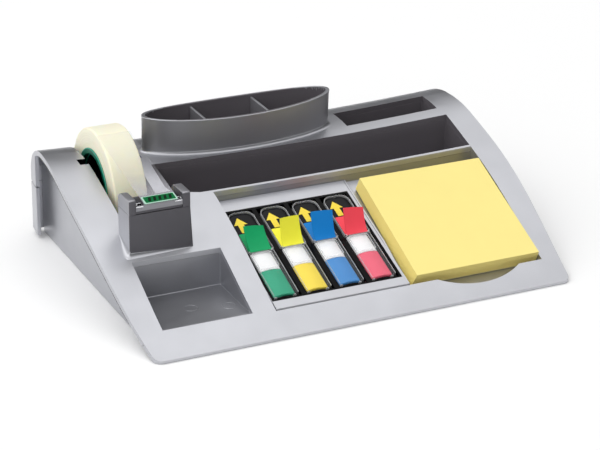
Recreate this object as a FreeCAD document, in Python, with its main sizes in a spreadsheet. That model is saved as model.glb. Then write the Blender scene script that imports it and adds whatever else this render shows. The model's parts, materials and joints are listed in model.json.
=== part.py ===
import FreeCAD, Part
import Sketcher
import math
import os
import re

# Desk organizer with a tape dispenser, a pencil cup, a pen trough, a clip tray,
# four index-flag cassettes, a note pad and a drawer at the back.
# +X is to the right of a person sitting at its front, +Y points to the back,
# +Z is up. The origin is on the desk, under the centre of the shell.
# All lengths are in millimetres and all angles in degrees.

SIZES = [
    # shell, seen from above
    ("back_margin", 42.8),           # axle of the tape to the back face
    ("front_overhang", 3.95),        # beyond each side wall, at the front edge
    ("widest_overhang", 10.7),
    ("back_overhang", 5.7),
    ("widest_station", 97.0),        # front edge to the widest place
    ("front_corner_round", 5.0),
    ("profile_margin", 2.0),         # how far the side profiles stand outside the outline
    # shell, seen from the side: distance from the front edge and height
    ("skin_thick", 3.0),
    ("back_skin_thick", 2.2),
    ("toe_height", 1.5),
    ("toe_slope", 0.36),
    ("ramp_station", 43.0),
    ("ramp_height", 21.0),
    ("knee_station", 85.0),
    ("knee_height", 40.4),
    ("shoulder_station", 120.0),
    ("shoulder_height", 52.1),
    ("crest_station", 153.0),
    ("crest_height", 58.1),
    ("curl_height", 37.0),           # where the back turns vertical
    ("wave_sag", 5.2),               # how far the middle of the back edge dips
    ("seam_height", 31.9),           # lower edge of the shell at the back
    ("cheek_lap", 11.5),             # how far the back wraps round each side
    # side walls and base
    ("side_span", 234.6),            # outside of left wall to outside of right
    ("side_thick", 2.5),
    ("side_front_gap", 6.0),         # side wall start behind the front edge
    ("base_thick", 1.6),
    ("base_lift", 1.0),
    ("base_gap", 0.3),
    ("base_front_gap", 11.0),
    ("foot_radius", 5.0),
    ("foot_inset", 16.0),
    ("screw_radius", 1.5),
    ("screw_head_radius", 3.0),
    ("screw_head_thick", 0.8),
    ("screw_reach", 7.0),
    ("screw_setback", 34.0),         # front of the recess to the note bay's screws
    ("screw_spread", 22.0),          # middle of the notes to those screws
    ("boss_radius", 3.0),
    ("clear_gap", 0.3),
    # wells
    ("well_wall", 1.6),
    ("deep_floor", 28.0),            # floor of the deep wells
    ("clip_left", -110.5),
    ("clip_width", 50.3),
    ("clip_front", 18.4),            # front edge to clip tray
    ("clip_length", 42.2),
    ("clip_floor", 7.5),
    ("trough_left", -71.8),
    ("trough_side_gap", 2.2),         # its right end to the side wall
    ("trough_front", 100.6),
    ("trough_length", 28.3),
    ("trough_cut_x", 17.4),          # its front left corner is cut off in two
    ("trough_cut_y", 3.6),
    ("trough_nick_x", 2.2),
    ("trough_nick_y", 8.3),
    ("rear_left", 52.0),
    ("rear_width", 58.5),
    ("rear_front", 136.4),
    ("rear_length", 18.2),
    # pencil cup
    ("cup_x", -14.0),
    ("cup_station", 144.6),
    ("cup_half_width", 57.0),
    ("cup_half_depth", 12.0),
    ("cup_rim_half_depth", 16.8),
    ("cup_rim_shift", -1.4),
    ("cup_flare_from", 47.0),
    ("cup_rim_height", 73.2),
    ("cup_rim_lift", 2.6),
    ("cup_wall", 2.0),
    ("cup_divider_thick", 1.4),
    ("cup_divider_drop", 1.2),
    ("cup_divider_one", -36.8),
    ("cup_divider_two", 0.8),
    # tape well and tape
    ("tape_x", -92.0),
    ("tape_well_width", 26.0),
    ("tape_well_front", 82.0),
    ("tape_back_gap", 0.8),          # full roll to the well's back
    ("tape_station", 139.7),
    ("tape_height", 39.5),
    ("tape_radius", 33.5),
    ("tape_width", 19.0),
    ("core_radius", 22.4),
    ("core_thick", 3.2),
    ("core_width", 19.6),
    ("hub_rim_thick", 2.4),
    ("hub_web_thick", 3.0),
    ("hub_boss_radius", 6.0),
    ("wind_gap", 0.05),
    ("axle_radius", 3.0),
    ("axle_play", 0.06),
    ("cradle_thick", 5.0),
    ("cradle_length", 14.0),
    ("cradle_floor", 30.0),
    # cutter
    ("cutter_width", 34.0),          # between the ears' outsides at the top
    ("cutter_spread", 2.0),          # how far its right side spreads at the shell
    ("cutter_left", 18.0),           # middle of the tape to the left ear's outside
    ("cutter_front", 64.2),
    ("cutter_depth", 16.0),
    ("cutter_height", 62.3),
    ("ear_thick", 4.0),
    ("anvil_height", 57.2),
    ("blade_height", 4.4),
    ("blade_thick", 0.6),
    ("backing_thick", 1.0),
    ("blade_top", 58.4),
    ("tooth_height", 0.9),
    ("tooth_pitch", 1.75),
    ("film_thick", 0.25),
    ("film_overhang", 0.5),
    ("tab_length", 6.6),
    ("tab_thick", 0.4),
    ("tab_inset", 0.3),
    # supply recess for the notes and the flags
    ("recess_left", -47.5),
    ("recess_front", 17.1),
    ("recess_rib", 1.4),
    ("divider_x", 31.4),
    ("divider_thick", 1.2),
    ("scoop_radius", 48.0),
    ("scoop_x", 73.0),
    ("scoop_reach", 7.2),
    ("scoop_floor", 3.6),
    # note pad
    ("note_side", 76.0),
    ("note_thick", 8.8),
    ("note_backing", 0.6),
    ("note_tilt", 23.2),
    ("note_x", 74.4),
    ("note_front", 19.4),
    ("note_height", 11.8),           # top of the pad's front edge
    # flag insert
    ("insert_tilt", 19.3),
    ("insert_height", 9.0),          # its top plane at the recess's front wall
    ("insert_thick", 5.0),
    ("insert_play", 0.3),
    ("tray_left", -46.7),
    ("tray_front", 6.2),
    ("tray_length", 71.4),
    ("tray_wall", 1.3),
    ("tray_floor", 1.0),
    ("tray_drop", 0.3),
    ("lane_pitch", 19.17),
    ("lane_width", 16.4),
    ("lane_first", -37.5),
    ("sled_width", 15.6),
    ("sled_length", 67.6),
    ("sled_thick", 1.6),
    ("sled_play", 0.3),
    ("head_length", 30.0),
    ("head_thick", 3.0),
    ("flag_width", 12.4),
    ("flag_stack", 3.0),
    ("flag_colour_length", 19.4),
    ("flag_white_length", 14.0),
    ("flag_setback", 1.6),
    ("cover_top", 0.6),
    ("cover_side", 0.7),
    ("cover_gap", 0.15),
    ("tab_rise", 14.2),
    ("tab_angle", 56.0),
    ("tab_sheet", 0.5),
    ("tab_gap", 0.1),
    # drawer
    ("drawer_front", 84.0),
    ("drawer_lift", 3.0),
    ("drawer_height", 20.6),
    ("drawer_wall", 1.8),
    ("drawer_seam", 0.7),
    ("drawer_face_floor", 2.3),
    ("drawer_rail_width", 2.2),
    ("drawer_rail_height", 5.0),
    ("pull_width", 46.0),
    ("pull_height", 6.5),
    ("pull_depth", 5.0),
]

COLOURS = ("green", "yellow", "blue", "red")
ABOVE = 130.0       # higher than anything
BELOW = -20.0       # lower than anything
HUGE = 1000.0       # wider than anything
FAR = "300"         # beyond anything, for tools that only have to reach through
BEFORE = "-60"      # in front of anything in a tilted frame
OUTSIDE = "-150"    # to the left of anything

doc = FreeCAD.newDocument("desk_organizer")
sheet = doc.addObject("Spreadsheet::Sheet", "Sizes")
for row, (alias, number) in enumerate(SIZES, 1):
    sheet.set("A%d" % row, alias)
    sheet.set("B%d" % row, str(number))
    sheet.setAlias("B%d" % row, alias)
doc.recompute()

nodes = []

# places worked out from the sizes, written as spreadsheet expressions
DEPTH = "(tape_station + back_margin)"
FRONT = "(-%s / 2)" % DEPTH
BACK = "(%s / 2)" % DEPTH
BASE_TOP = "(base_lift + base_thick)"
INNER_SPAN = "(side_span - 2 * side_thick)"
RECESS_FRONT = "(%s + recess_front)" % FRONT
RECESS_BACK = "(%s + trough_front - recess_rib)" % FRONT
RECESS_RIGHT = "(note_x + note_side / 2 + clear_gap)"
RECESS_WIDTH = "(%s - recess_left)" % RECESS_RIGHT
TROUGH_WIDTH = "(side_span / 2 - side_thick - trough_side_gap - trough_left)"
TAPE_WELL_LENGTH = "(tape_station + tape_radius + tape_back_gap - tape_well_front)"
TAPE_Y = "(%s + tape_station)" % FRONT
CUP_Y = "(%s + cup_station)" % FRONT
CUTTER_Y = "(%s + cutter_front)" % FRONT
CUTTER_LEFT = "(tape_x - cutter_left)"
WIDEST = "(side_span + 2 * widest_overhang)"
DRAWER_LEFT = "(tape_x + tape_well_width / 2 + cradle_thick + drawer_rail_width + clear_gap)"
DRAWER_RIGHT = "(side_span / 2 - side_thick - drawer_rail_width - clear_gap)"
DRAWER_WIDTH = "(%s - %s)" % (DRAWER_RIGHT, DRAWER_LEFT)
FACE_TOP = "(seam_height - drawer_seam)"


def size(name):
    """A driving dimension as a number."""
    return float(getattr(sheet, name))


def bound(text):
    """Names with an underscore are cells of the sheet."""
    return re.sub(r"\b([a-z]+(?:_[a-z]+)+)\b", r"Sizes.\1", str(text))


def number(text):
    """The value of an expression, for shapes that are made in code."""
    plain = re.sub(r"\b([a-z]+(?:_[a-z]+)+)\b", lambda m: repr(size(m.group(1))), str(text))
    return float(sheet.evalExpression(plain))


def bind(thing, **expressions):
    for prop, text in expressions.items():
        thing.setExpression(prop, bound(text))


def place(thing, x, y, z):
    for axis, text in zip("xyz", (x, y, z)):
        thing.setExpression(".Placement.Base." + axis, bound(text))


def box(name, x, y, z, length, width, height):
    solid = doc.addObject("Part::Box", name)
    bind(solid, Length=length, Width=width, Height=height)
    place(solid, x, y, z)
    return solid


def cylinder(name, x, y, z, radius, height, axis="z"):
    solid = doc.addObject("Part::Cylinder", name)
    bind(solid, Radius=radius, Height=height)
    if axis == "x":
        solid.Placement = FreeCAD.Placement(
            FreeCAD.Vector(), FreeCAD.Rotation(FreeCAD.Vector(0, 1, 0), 90))
    place(solid, x, y, z)
    return solid


def feature(name, shape):
    solid = doc.addObject("Part::Feature", name)
    solid.Shape = shape
    return solid


def cut(name, base, *tools):
    tool = tools[0] if len(tools) == 1 else fuse(name + "_tools", *tools)
    solid = doc.addObject("Part::Cut", name)
    solid.Base = base
    solid.Tool = tool
    return solid


def fuse(name, *shapes):
    solid = doc.addObject("Part::MultiFuse", name)
    solid.Shapes = list(shapes)
    return solid


def common(name, *shapes):
    solid = doc.addObject("Part::MultiCommon", name)
    solid.Shapes = list(shapes)
    return solid


def keep(solid, label):
    solid.Label = label
    nodes.append(solid)
    return solid


def in_frame(frame, along, up):
    """y and z of a place in a frame tilted about X: (y, z, angle) of its origin."""
    y0, z0, angle = frame
    turn = "(%s * 1 deg)" % angle
    return ("(%s + (%s) * cos%s - (%s) * sin%s)" % (y0, along, turn, up, turn),
            "(%s + (%s) * sin%s + (%s) * cos%s)" % (z0, along, turn, up, turn))


def tilt(solid, frame, x, along, up):
    """Places a solid in a tilted frame. The first angle only sets the axis."""
    solid.Placement = FreeCAD.Placement(
        FreeCAD.Vector(), FreeCAD.Rotation(FreeCAD.Vector(1, 0, 0), 10))
    solid.setExpression(".Placement.Rotation.Angle", bound(frame[2]))
    y, z = in_frame(frame, along, up)
    place(solid, x, y, z)


def tilted_box(name, frame, x, along, up, length, width, height):
    solid = doc.addObject("Part::Box", name)
    bind(solid, Length=length, Width=width, Height=height)
    tilt(solid, frame, x, along, up)
    return solid


# ---------------------------------------------------------------- the skin

def station_heights(drop):
    """Stations of the side profile from the toe to the crest."""
    names = ("ramp", "knee", "shoulder", "crest")
    points = [(0.0, size("toe_height") - drop)]
    points += [(size(n + "_station"), size(n + "_height") - drop) for n in names]
    return points


def sag(station, across):
    """How far the wavy top dips at a station, for a place across the width."""
    part = station / number(DEPTH)
    return size("wave_sag") * (part + part * part) / 2 * (1 - across * across)


def profile_wire(x, across, drop, back_inset):
    """Closed side outline of the organizer at x, lowered by drop."""
    front = number(FRONT)
    back = number(BACK) - back_inset
    top = [FreeCAD.Vector(x, front + s, z - sag(s, across))
           for s, z in station_heights(drop)]
    rise = FreeCAD.Vector(0, 1, size("toe_slope"))
    ramp = Part.BSplineCurve()
    ramp.interpolate(Points=top, InitialTangent=rise, FinalTangent=FreeCAD.Vector(0, 1, 0))
    crest = top[-1]
    reach = back - crest.y
    height = crest.z - size("curl_height")
    quarter = [FreeCAD.Vector(x, crest.y + reach * math.sin(turn),
                              crest.z - height * (1 - math.cos(turn)))
               for turn in (math.pi / 2 * k / 6 for k in range(7))]
    curl = Part.BSplineCurve()
    curl.interpolate(Points=quarter, InitialTangent=FreeCAD.Vector(0, 1, 0),
                     FinalTangent=FreeCAD.Vector(0, 0, -1))
    low_back = FreeCAD.Vector(x, back, BELOW)
    low_front = FreeCAD.Vector(x, front, BELOW)
    edges = [ramp.toShape(), curl.toShape(),
             Part.makeLine(quarter[-1], low_back),
             Part.makeLine(low_back, low_front),
             Part.makeLine(low_front, top[0])]
    return Part.Wire(edges)


def profile_block(drop, back_inset):
    """Everything under the wavy top, lowered by drop."""
    half = number(WIDEST) / 2 + size("profile_margin")
    wires = [profile_wire(part * half, part, drop, back_inset)
             for part in (-1.0, -0.5, 0.0, 0.5, 1.0)]
    return Part.makeLoft(wires, True, False)


def plan_prism(inset, back_inset, low, high):
    """Upright prism of the shell's outline, with its sides moved in by inset."""
    front = number(FRONT)
    back = number(BACK)
    wide = front + size("widest_station")
    f, m, b = (size("side_span") / 2 + size(n + "_overhang") - inset
               for n in ("front", "widest", "back"))
    corner = [FreeCAD.Vector(x, y, low) for x, y in
              ((-f, front), (f, front), (m, wide), (b, back), (-b, back), (-m, wide))]
    right = Part.Arc(corner[1], corner[2], corner[3]).toShape()
    left = Part.Arc(corner[4], corner[5], corner[0]).toShape()
    outline = Part.Wire([Part.makeLine(corner[0], corner[1]), right,
                         Part.makeLine(corner[3], corner[4]), left])
    prism = Part.Face(outline).extrude(FreeCAD.Vector(0, 0, high - low))
    if back_inset:
        return prism.cut(half_space(back - back_inset))
    upright = [e for e in prism.Edges
               if abs(e.Vertexes[0].X) == abs(e.Vertexes[-1].X)
               and abs(e.Vertexes[0].Z - e.Vertexes[-1].Z) > 1
               and abs(e.Vertexes[0].Y - front) < 0.01]
    return prism.makeFillet(size("front_corner_round"), upright)


def half_space(start):
    """Everything from y = start to beyond the back."""
    return Part.makeBox(HUGE, HUGE, HUGE, FreeCAD.Vector(-HUGE / 2, start, -HUGE / 2))


def slab_between(low, high):
    """Everything between two heights."""
    return Part.makeBox(HUGE, HUGE, high - low, FreeCAD.Vector(-HUGE / 2, -HUGE / 2, low))


def make_skin():
    """Outer block, space under the skin and the space under the curled back."""
    drop = size("skin_thick")
    inset = size("back_skin_thick")
    outer = profile_block(0, 0).common(plan_prism(0, 0, 0, ABOVE))
    under_all = profile_block(drop, inset)
    behind_lap = half_space(number(BACK) - size("cheek_lap"))
    undercut = under_all.cut(behind_lap)
    inner_plan = plan_prism(inset, inset, BELOW, ABOVE)
    rear = under_all.common(inner_plan)
    low_rear = outer.common(behind_lap)
    low_rear = low_rear.common(slab_between(BELOW, size("seam_height")))
    return (feature("outer_block", outer), feature("undercut", undercut),
            feature("rear_hollow", rear), feature("below_seam", low_rear))


outer_block, undercut, rear_hollow, below_seam = make_skin()
under_space = feature("under_space", profile_block(size("skin_thick"), size("back_skin_thick")))

CLIP = ("clip_left", FRONT + " + clip_front", "clip_width", "clip_length")
TROUGH = ("trough_left", FRONT + " + trough_front", TROUGH_WIDTH, "trough_length")
REAR = ("rear_left", FRONT + " + rear_front", "rear_width", "rear_length")
TAPE = ("tape_x - tape_well_width / 2", FRONT + " + tape_well_front",
        "tape_well_width", TAPE_WELL_LENGTH)
RECESS = ("recess_left", RECESS_FRONT, RECESS_WIDTH,
          "(trough_front - recess_rib - recess_front)")


def well_space(name, plan, floor):
    x, y, length, width = plan
    return box(name, x, y, floor, length, width, "%s - %s" % (ABOVE, floor))


def upright_prism(name, plan, low, high):
    """Extrudes an outline, given as places in plan, from low to high."""
    points = [FreeCAD.Vector(x, y, low) for x, y in plan + plan[:1]]
    face = Part.Face(Part.makePolygon(points))
    return feature(name, face.extrude(FreeCAD.Vector(0, 0, high - low)))


def make_trough_space():
    """The trough's plan has its front left corner cut off."""
    left = size("trough_left")
    right = left + number(TROUGH_WIDTH)
    front = number(TROUGH[1])
    back = front + size("trough_length")
    plan = [(left + size("trough_cut_x"), front), (right, front), (right, back), (left, back),
            (left, front + size("trough_nick_y")),
            (left + size("trough_nick_x"), front + size("trough_cut_y"))]
    return upright_prism("trough_space", plan, size("deep_floor"), ABOVE)


clip_space = well_space("clip_space", CLIP, "clip_floor")
trough_space = make_trough_space()
rear_space = well_space("rear_space", REAR, "deep_floor")
tape_space = well_space("tape_space", TAPE, BASE_TOP + " + well_wall")
recess_space = well_space("recess_space", RECESS, "scoop_floor")
doc.recompute()


# ------------------------------------------------------------ pencil cup

def ellipse(name, x, y, z, major, minor):
    curve = doc.addObject("Part::Ellipse", name)
    bind(curve, MajorRadius=major, MinorRadius=minor)
    place(curve, x, y, z)
    return curve


def cup_form(name, inset, floor, rim):
    """Straight oval below the flare and a leaning oval above it."""
    major = "cup_half_width - %s" % inset
    minor = "cup_half_depth - %s" % inset
    rim_minor = "cup_rim_half_depth - %s" % inset
    low = ellipse(name + "_low", "cup_x", CUP_Y, floor, major, minor)
    shaft = doc.addObject("Part::Extrusion", name + "_shaft")
    shaft.Base = low
    shaft.DirMode = "Custom"
    shaft.Dir = FreeCAD.Vector(0, 0, 1)
    shaft.Solid = True
    shaft.setExpression("LengthFwd", bound("cup_flare_from - (%s)" % floor))
    foot = ellipse(name + "_foot", "cup_x", CUP_Y, "cup_flare_from", major, minor)
    head = ellipse(name + "_head", "cup_x", CUP_Y + " + cup_rim_shift", rim, major, rim_minor)
    flare = doc.addObject("Part::Loft", name + "_flare")
    flare.Sections = [foot, head]
    flare.Solid = True
    flare.Ruled = True
    return fuse(name, shaft, flare)


def rim_saddle():
    """Everything above the cup's rim, which is lower in its middle."""
    x = size("cup_x")
    half = size("cup_half_width") + 5
    low = size("cup_rim_height")
    lift = size("cup_rim_lift") * (half / size("cup_half_width")) ** 2
    front = number(CUP_Y) - half
    arc = Part.Arc(FreeCAD.Vector(x - half, front, low + lift),
                   FreeCAD.Vector(x, front, low),
                   FreeCAD.Vector(x + half, front, low + lift)).toShape()
    top = [FreeCAD.Vector(x + half, front, low + lift), FreeCAD.Vector(x + half, front, ABOVE),
           FreeCAD.Vector(x - half, front, ABOVE), FreeCAD.Vector(x - half, front, low + lift)]
    outline = Part.Wire([arc, Part.makePolygon(top)])
    return feature("rim_saddle", Part.Face(outline).extrude(FreeCAD.Vector(0, 2 * half, 0)))


RIM_TOP = "(cup_rim_height + cup_rim_lift + 4)"
cup_outside = cup_form("cup_outside", "0", "deep_floor - well_wall", RIM_TOP)
cup_inside = cup_form("cup_inside", "cup_wall", "deep_floor", RIM_TOP)
above_rim = rim_saddle()
doc.recompute()
keep(cut("pencil_cup", cup_outside, cup_inside, above_rim), "pencil_cup")


def cup_divider(name, x):
    plate = box(name + "_plate", "%s - cup_divider_thick / 2" % x, CUP_Y + " - cup_half_width", "deep_floor",
                "cup_divider_thick", "2 * cup_half_width", "cup_rim_height - cup_divider_drop - deep_floor")
    keep(common(name, plate, cup_inside), name)


cup_divider("cup_divider_left", "cup_divider_one")
cup_divider("cup_divider_right", "cup_divider_two")


# ---------------------------------------------------------------- the shell

def boss_places():
    """Where a screw from the base meets the shell or the note bay."""
    between = "(clip_left + clip_width + recess_left) / 2"
    shell = [(between, FRONT + " + clip_front + clip_length / 2"),
             ("tape_x", CUTTER_Y + " + cutter_depth / 2")]
    y = RECESS_FRONT + " + screw_setback"
    bay = [("note_x - screw_spread", y), ("note_x + screw_spread", y)]
    return shell, bay


SHELL_BOSSES, BAY_BOSSES = boss_places()


def bosses(name, places):
    posts = [cylinder("%s_%d" % (name, k), x, y, BASE_TOP, "boss_radius", str(ABOVE))
             for k, (x, y) in enumerate(places)]
    return fuse(name, *posts)


def screw_bores(name, places):
    bores = [cylinder("%s_%d" % (name, k), x, y, "base_lift - 1", "screw_radius + 0.1",
                      "screw_reach + 1.3")
             for k, (x, y) in enumerate(places)]
    return fuse(name, *bores)


def axle_notches(name):
    """Slots that the hub's axle drops into, on both sides of the tape well."""
    width = "(2 * (axle_radius + axle_play))"
    span = "(tape_well_width + 2 * cradle_thick)"
    left = "(tape_x - tape_well_width / 2 - cradle_thick)"
    slot = box(name + "_slot", left, TAPE_Y + " - axle_radius - axle_play", "tape_height",
               span, width, "%s - tape_height" % ABOVE)
    seat = cylinder(name + "_seat", left, TAPE_Y, "tape_height",
                    "axle_radius + axle_play", span, "x")
    return fuse(name, slot, seat)


notches = axle_notches("axle_notches")


def scoop_form(name, wall, floor):
    """Segment of a disc in front of the note pad, where a thumb goes in."""
    y = RECESS_FRONT + " - scoop_reach + scoop_radius"
    disc = cylinder(name + "_disc", "scoop_x", y, floor, "scoop_radius + %s" % wall, FAR)
    front = box(name + "_front", "scoop_x - scoop_radius", RECESS_FRONT + " - scoop_radius",
                floor, "2 * scoop_radius", "scoop_radius", FAR)
    return common(name, disc, front)


thumb_scoop = scoop_form("thumb_scoop", "0", "scoop_floor")


def make_top_shell():
    spaces = [undercut, rear_hollow, below_seam, clip_space, trough_space, rear_space,
              tape_space, recess_space, cup_outside, notches, thumb_scoop]
    plate = cut("shell_plate", outer_block, *spaces)
    posts = common("shell_bosses", bosses("shell_posts", SHELL_BOSSES), under_space)
    keep(cut("top_shell", fuse("shell_whole", plate, posts),
             screw_bores("shell_bores", SHELL_BOSSES)), "top_shell")


make_top_shell()


# ------------------------------------------------------------------- wells

def tub(name, plan, floor, space, *more):
    """A moulded well under the skin: walls and floor round a space."""
    x, y, length, width = plan
    block = box(name + "_block", "%s - well_wall" % x, "%s - well_wall" % y,
                "%s - well_wall" % floor, "%s + 2 * well_wall" % length,
                "%s + 2 * well_wall" % width, str(ABOVE))
    under = common(name + "_under", block, under_space)
    keep(cut(name, under, space, *more), name)


def make_trough():
    """Its front wall is the rib that it shares with the supply recess."""
    x, y, length, width = TROUGH
    block = box("trough_block", "%s - well_wall" % x, "%s - recess_rib" % y,
                "deep_floor - well_wall", "%s + 2 * well_wall" % length,
                "%s + recess_rib + well_wall" % width, str(ABOVE))
    under = common("trough_under", block, under_space)
    keep(cut("pen_trough", under, trough_space, cup_outside), "pen_trough")


def make_tape_well():
    x, y, length, width = TAPE
    block = box("tape_block", "%s - well_wall" % x, "%s - well_wall" % y, BASE_TOP,
                "%s + 2 * well_wall" % length, "%s + 2 * well_wall" % width, str(ABOVE))
    cradle = box("tape_cradle", "%s - cradle_thick" % x, TAPE_Y + " - cradle_length / 2",
                 "cradle_floor", "%s + 2 * cradle_thick" % length, "cradle_length", str(ABOVE))
    under = common("tape_under", fuse("tape_outer", block, cradle), under_space)
    keep(cut("tape_well", under, tape_space, notches), "tape_well")


tub("clip_tray", CLIP, "clip_floor", clip_space)
tub("rear_compartment", REAR, "deep_floor", rear_space, cup_outside)
make_trough()
make_tape_well()


# ------------------------------------------------------- bays of the recess

INSERT = (RECESS_FRONT, "insert_height", "insert_tilt")
NOTE = ("(%s + note_front)" % FRONT, "note_height", "note_tilt")


def make_flag_bay():
    """Sloping floor under the flag insert, with a wall towards the note bay."""
    low = "-(insert_thick + insert_play + well_wall)"
    block = box("flag_block", "recess_left - well_wall", RECESS_FRONT + " - well_wall", BASE_TOP,
                "divider_x + divider_thick - recess_left + well_wall",
                "%s - %s + well_wall" % (RECESS_BACK, RECESS_FRONT), FAR)
    above = tilted_box("flag_above", INSERT, OUTSIDE, BEFORE, low, FAR, FAR, FAR)
    under = common("flag_under", block, above, under_space)
    space = tilted_box("flag_space", INSERT, "recess_left", BEFORE,
                       "-(insert_thick + insert_play)", "divider_x - recess_left", FAR, FAR)
    over_divider = tilted_box("over_divider", INSERT, "divider_x - divider_thick", BEFORE, "0",
                              "3 * divider_thick", FAR, FAR)
    plan = box("flag_plan", "recess_left", RECESS_FRONT, "0",
               "divider_x + divider_thick - recess_left", FAR, FAR)
    inside = common("flag_inside", fuse("flag_spaces", space, over_divider), plan)
    keep(cut("flag_bay", under, inside), "flag_bay")


def make_note_bay():
    left = "(divider_x + divider_thick)"
    low = "-(note_thick + clear_gap + well_wall)"
    block = box("note_block", left, RECESS_FRONT + " - well_wall", BASE_TOP,
                "%s + well_wall - %s" % (RECESS_RIGHT, left),
                "%s - %s + well_wall" % (RECESS_BACK, RECESS_FRONT), FAR)
    above = tilted_box("note_above", NOTE, OUTSIDE, BEFORE, low, FAR, FAR, FAR)
    slab = common("note_slab", block, above, under_space)
    posts = common("note_posts", bosses("bay_posts", BAY_BOSSES), block)
    space = tilted_box("note_space", NOTE, left, BEFORE, "-(note_thick + clear_gap)",
                       "%s - %s" % (RECESS_RIGHT, left), FAR, FAR)
    plan = box("note_plan", left, RECESS_FRONT, "scoop_floor",
               "%s - %s" % (RECESS_RIGHT, left), FAR, FAR)
    inside = common("note_inside", space, plan)
    lip = common("scoop_lip", scoop_form("scoop_outer", "well_wall", BASE_TOP), under_space)
    keep(cut("note_bay", fuse("note_whole", slab, posts, lip), inside, thumb_scoop,
             screw_bores("bay_bores", BAY_BOSSES)), "note_bay")


make_flag_bay()
make_note_bay()


# ---------------------------------------------------------------- the cutter

def make_cutter():
    """A post with two ears and an anvil between them."""
    left = number(CUTTER_LEFT)
    right = left + size("cutter_width")
    front = number(CUTTER_Y)
    top = size("cutter_height")
    foot = size("cradle_floor")
    spread = right + size("cutter_spread")
    outline = [(left, top), (right, top), (spread, foot), (spread, 0), (left, 0)]
    points = [FreeCAD.Vector(x, front, z) for x, z in outline + outline[:1]]
    face = Part.Face(Part.makePolygon(points))
    post = feature("post_block", face.extrude(FreeCAD.Vector(0, size("cutter_depth"), 0)))
    gap = box("post_gap", CUTTER_LEFT + " + ear_thick",
              CUTTER_Y + " + blade_thick + backing_thick", "anvil_height",
              "cutter_width - 2 * ear_thick", "cutter_depth", FAR)
    seat = box("blade_seat", CUTTER_LEFT + " + ear_thick", CUTTER_Y, "blade_top - blade_height",
               "cutter_width - 2 * ear_thick", "blade_thick + backing_thick", FAR)
    keep(cut("cutter_post", post, gap, seat, outer_block), "cutter_post")


def blade_outline():
    """Flat strip with a row of teeth along its upper edge."""
    left = number(CUTTER_LEFT) + size("ear_thick")
    length = size("cutter_width") - 2 * size("ear_thick")
    low = size("blade_top") - size("blade_height")
    high = size("blade_top")
    teeth = max(2, int(length / size("tooth_pitch")))
    pitch = length / teeth
    y = number(CUTTER_Y)
    points = [(left, low), (left, high)]
    for k in range(teeth):
        points.append((left + (k + 0.5) * pitch, high + size("tooth_height")))
        points.append((left + (k + 1) * pitch, high))
    points.append((left + length, low))
    points.append(points[0])
    return Part.makePolygon([FreeCAD.Vector(x, y, z) for x, z in points])


def make_blade():
    face = Part.Face(blade_outline())
    keep(feature("cutter_blade", face.extrude(FreeCAD.Vector(0, size("blade_thick"), 0))),
         "cutter_blade")
    backing = box("blade_backing", CUTTER_LEFT + " + ear_thick", CUTTER_Y + " + blade_thick",
                  "blade_top - blade_height", "cutter_width - 2 * ear_thick", "backing_thick",
                  "anvil_height - blade_top + blade_height")
    keep(backing, "blade_backing")


make_cutter()
make_blade()


# ------------------------------------------------------------------ the tape

def sketch_on(body, name, role):
    plane = [f for f in body.Origin.OriginFeatures if f.Role == role][0]
    sketch = body.newObject("Sketcher::SketchObject", name)
    sketch.AttachmentSupport = [(plane, "")]
    sketch.MapMode = "FlatFace"
    return sketch


def ring_body(name, outer, inner, width):
    """A ring about the tape's axis, padded both ways from its middle."""
    body = doc.addObject("PartDesign::Body", name + "_body")
    sketch = sketch_on(body, name + "_sketch", "YZ_Plane")
    centre = FreeCAD.Vector(0, 0, 0)
    axis = FreeCAD.Vector(0, 0, 1)
    for radius in (outer, inner):
        index = sketch.addGeometry(Part.Circle(centre, axis, number(radius)), False)
        hold_circle(sketch, index, radius)
    pad = body.newObject("PartDesign::Pad", name + "_pad")
    pad.Profile = sketch
    pad.Midplane = True
    pad.setExpression("Length", bound(width))
    place(body, "tape_x", TAPE_Y, "tape_height")
    keep(body, name)
    return body


def hold_circle(sketch, index, radius):
    sketch.addConstraint(Sketcher.Constraint("Coincident", index, 3, -1, 1))
    row = sketch.addConstraint(Sketcher.Constraint("Radius", index, number(radius)))
    sketch.setExpression("Constraints[%d]" % row, bound(radius))


def make_hub():
    """Wheel that fills the core: rim, web and boss in one piece."""
    outer = "(core_radius - core_thick - wind_gap)"
    rim = cylinder("hub_rim", "tape_x - tape_width / 2", TAPE_Y, "tape_height", outer,
                   "tape_width", "x")
    side = "(tape_width - hub_web_thick) / 2"
    left = cylinder("hub_left", "tape_x - tape_width / 2 - 1", TAPE_Y, "tape_height",
                    outer + " - hub_rim_thick", side + " + 1", "x")
    right = cylinder("hub_right", "tape_x + hub_web_thick / 2", TAPE_Y, "tape_height",
                     outer + " - hub_rim_thick", side + " + 1", "x")
    wheel = cut("hub_wheel", rim, left, right)
    boss = cylinder("hub_boss", "tape_x - core_width / 2", TAPE_Y, "tape_height",
                    "hub_boss_radius", "core_width", "x")
    bore = cylinder("hub_bore", "tape_x - core_width", TAPE_Y, "tape_height",
                    "axle_radius + axle_play", "2 * core_width", "x")
    keep(cut("tape_hub", fuse("hub_whole", wheel, boss), bore), "tape_hub")
    keep(cylinder("hub_axle", "tape_x - tape_well_width / 2 - cradle_thick + clear_gap", TAPE_Y,
                  "tape_height", "axle_radius",
                  "tape_well_width + 2 * (cradle_thick - clear_gap)", "x"), "hub_axle")


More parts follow.
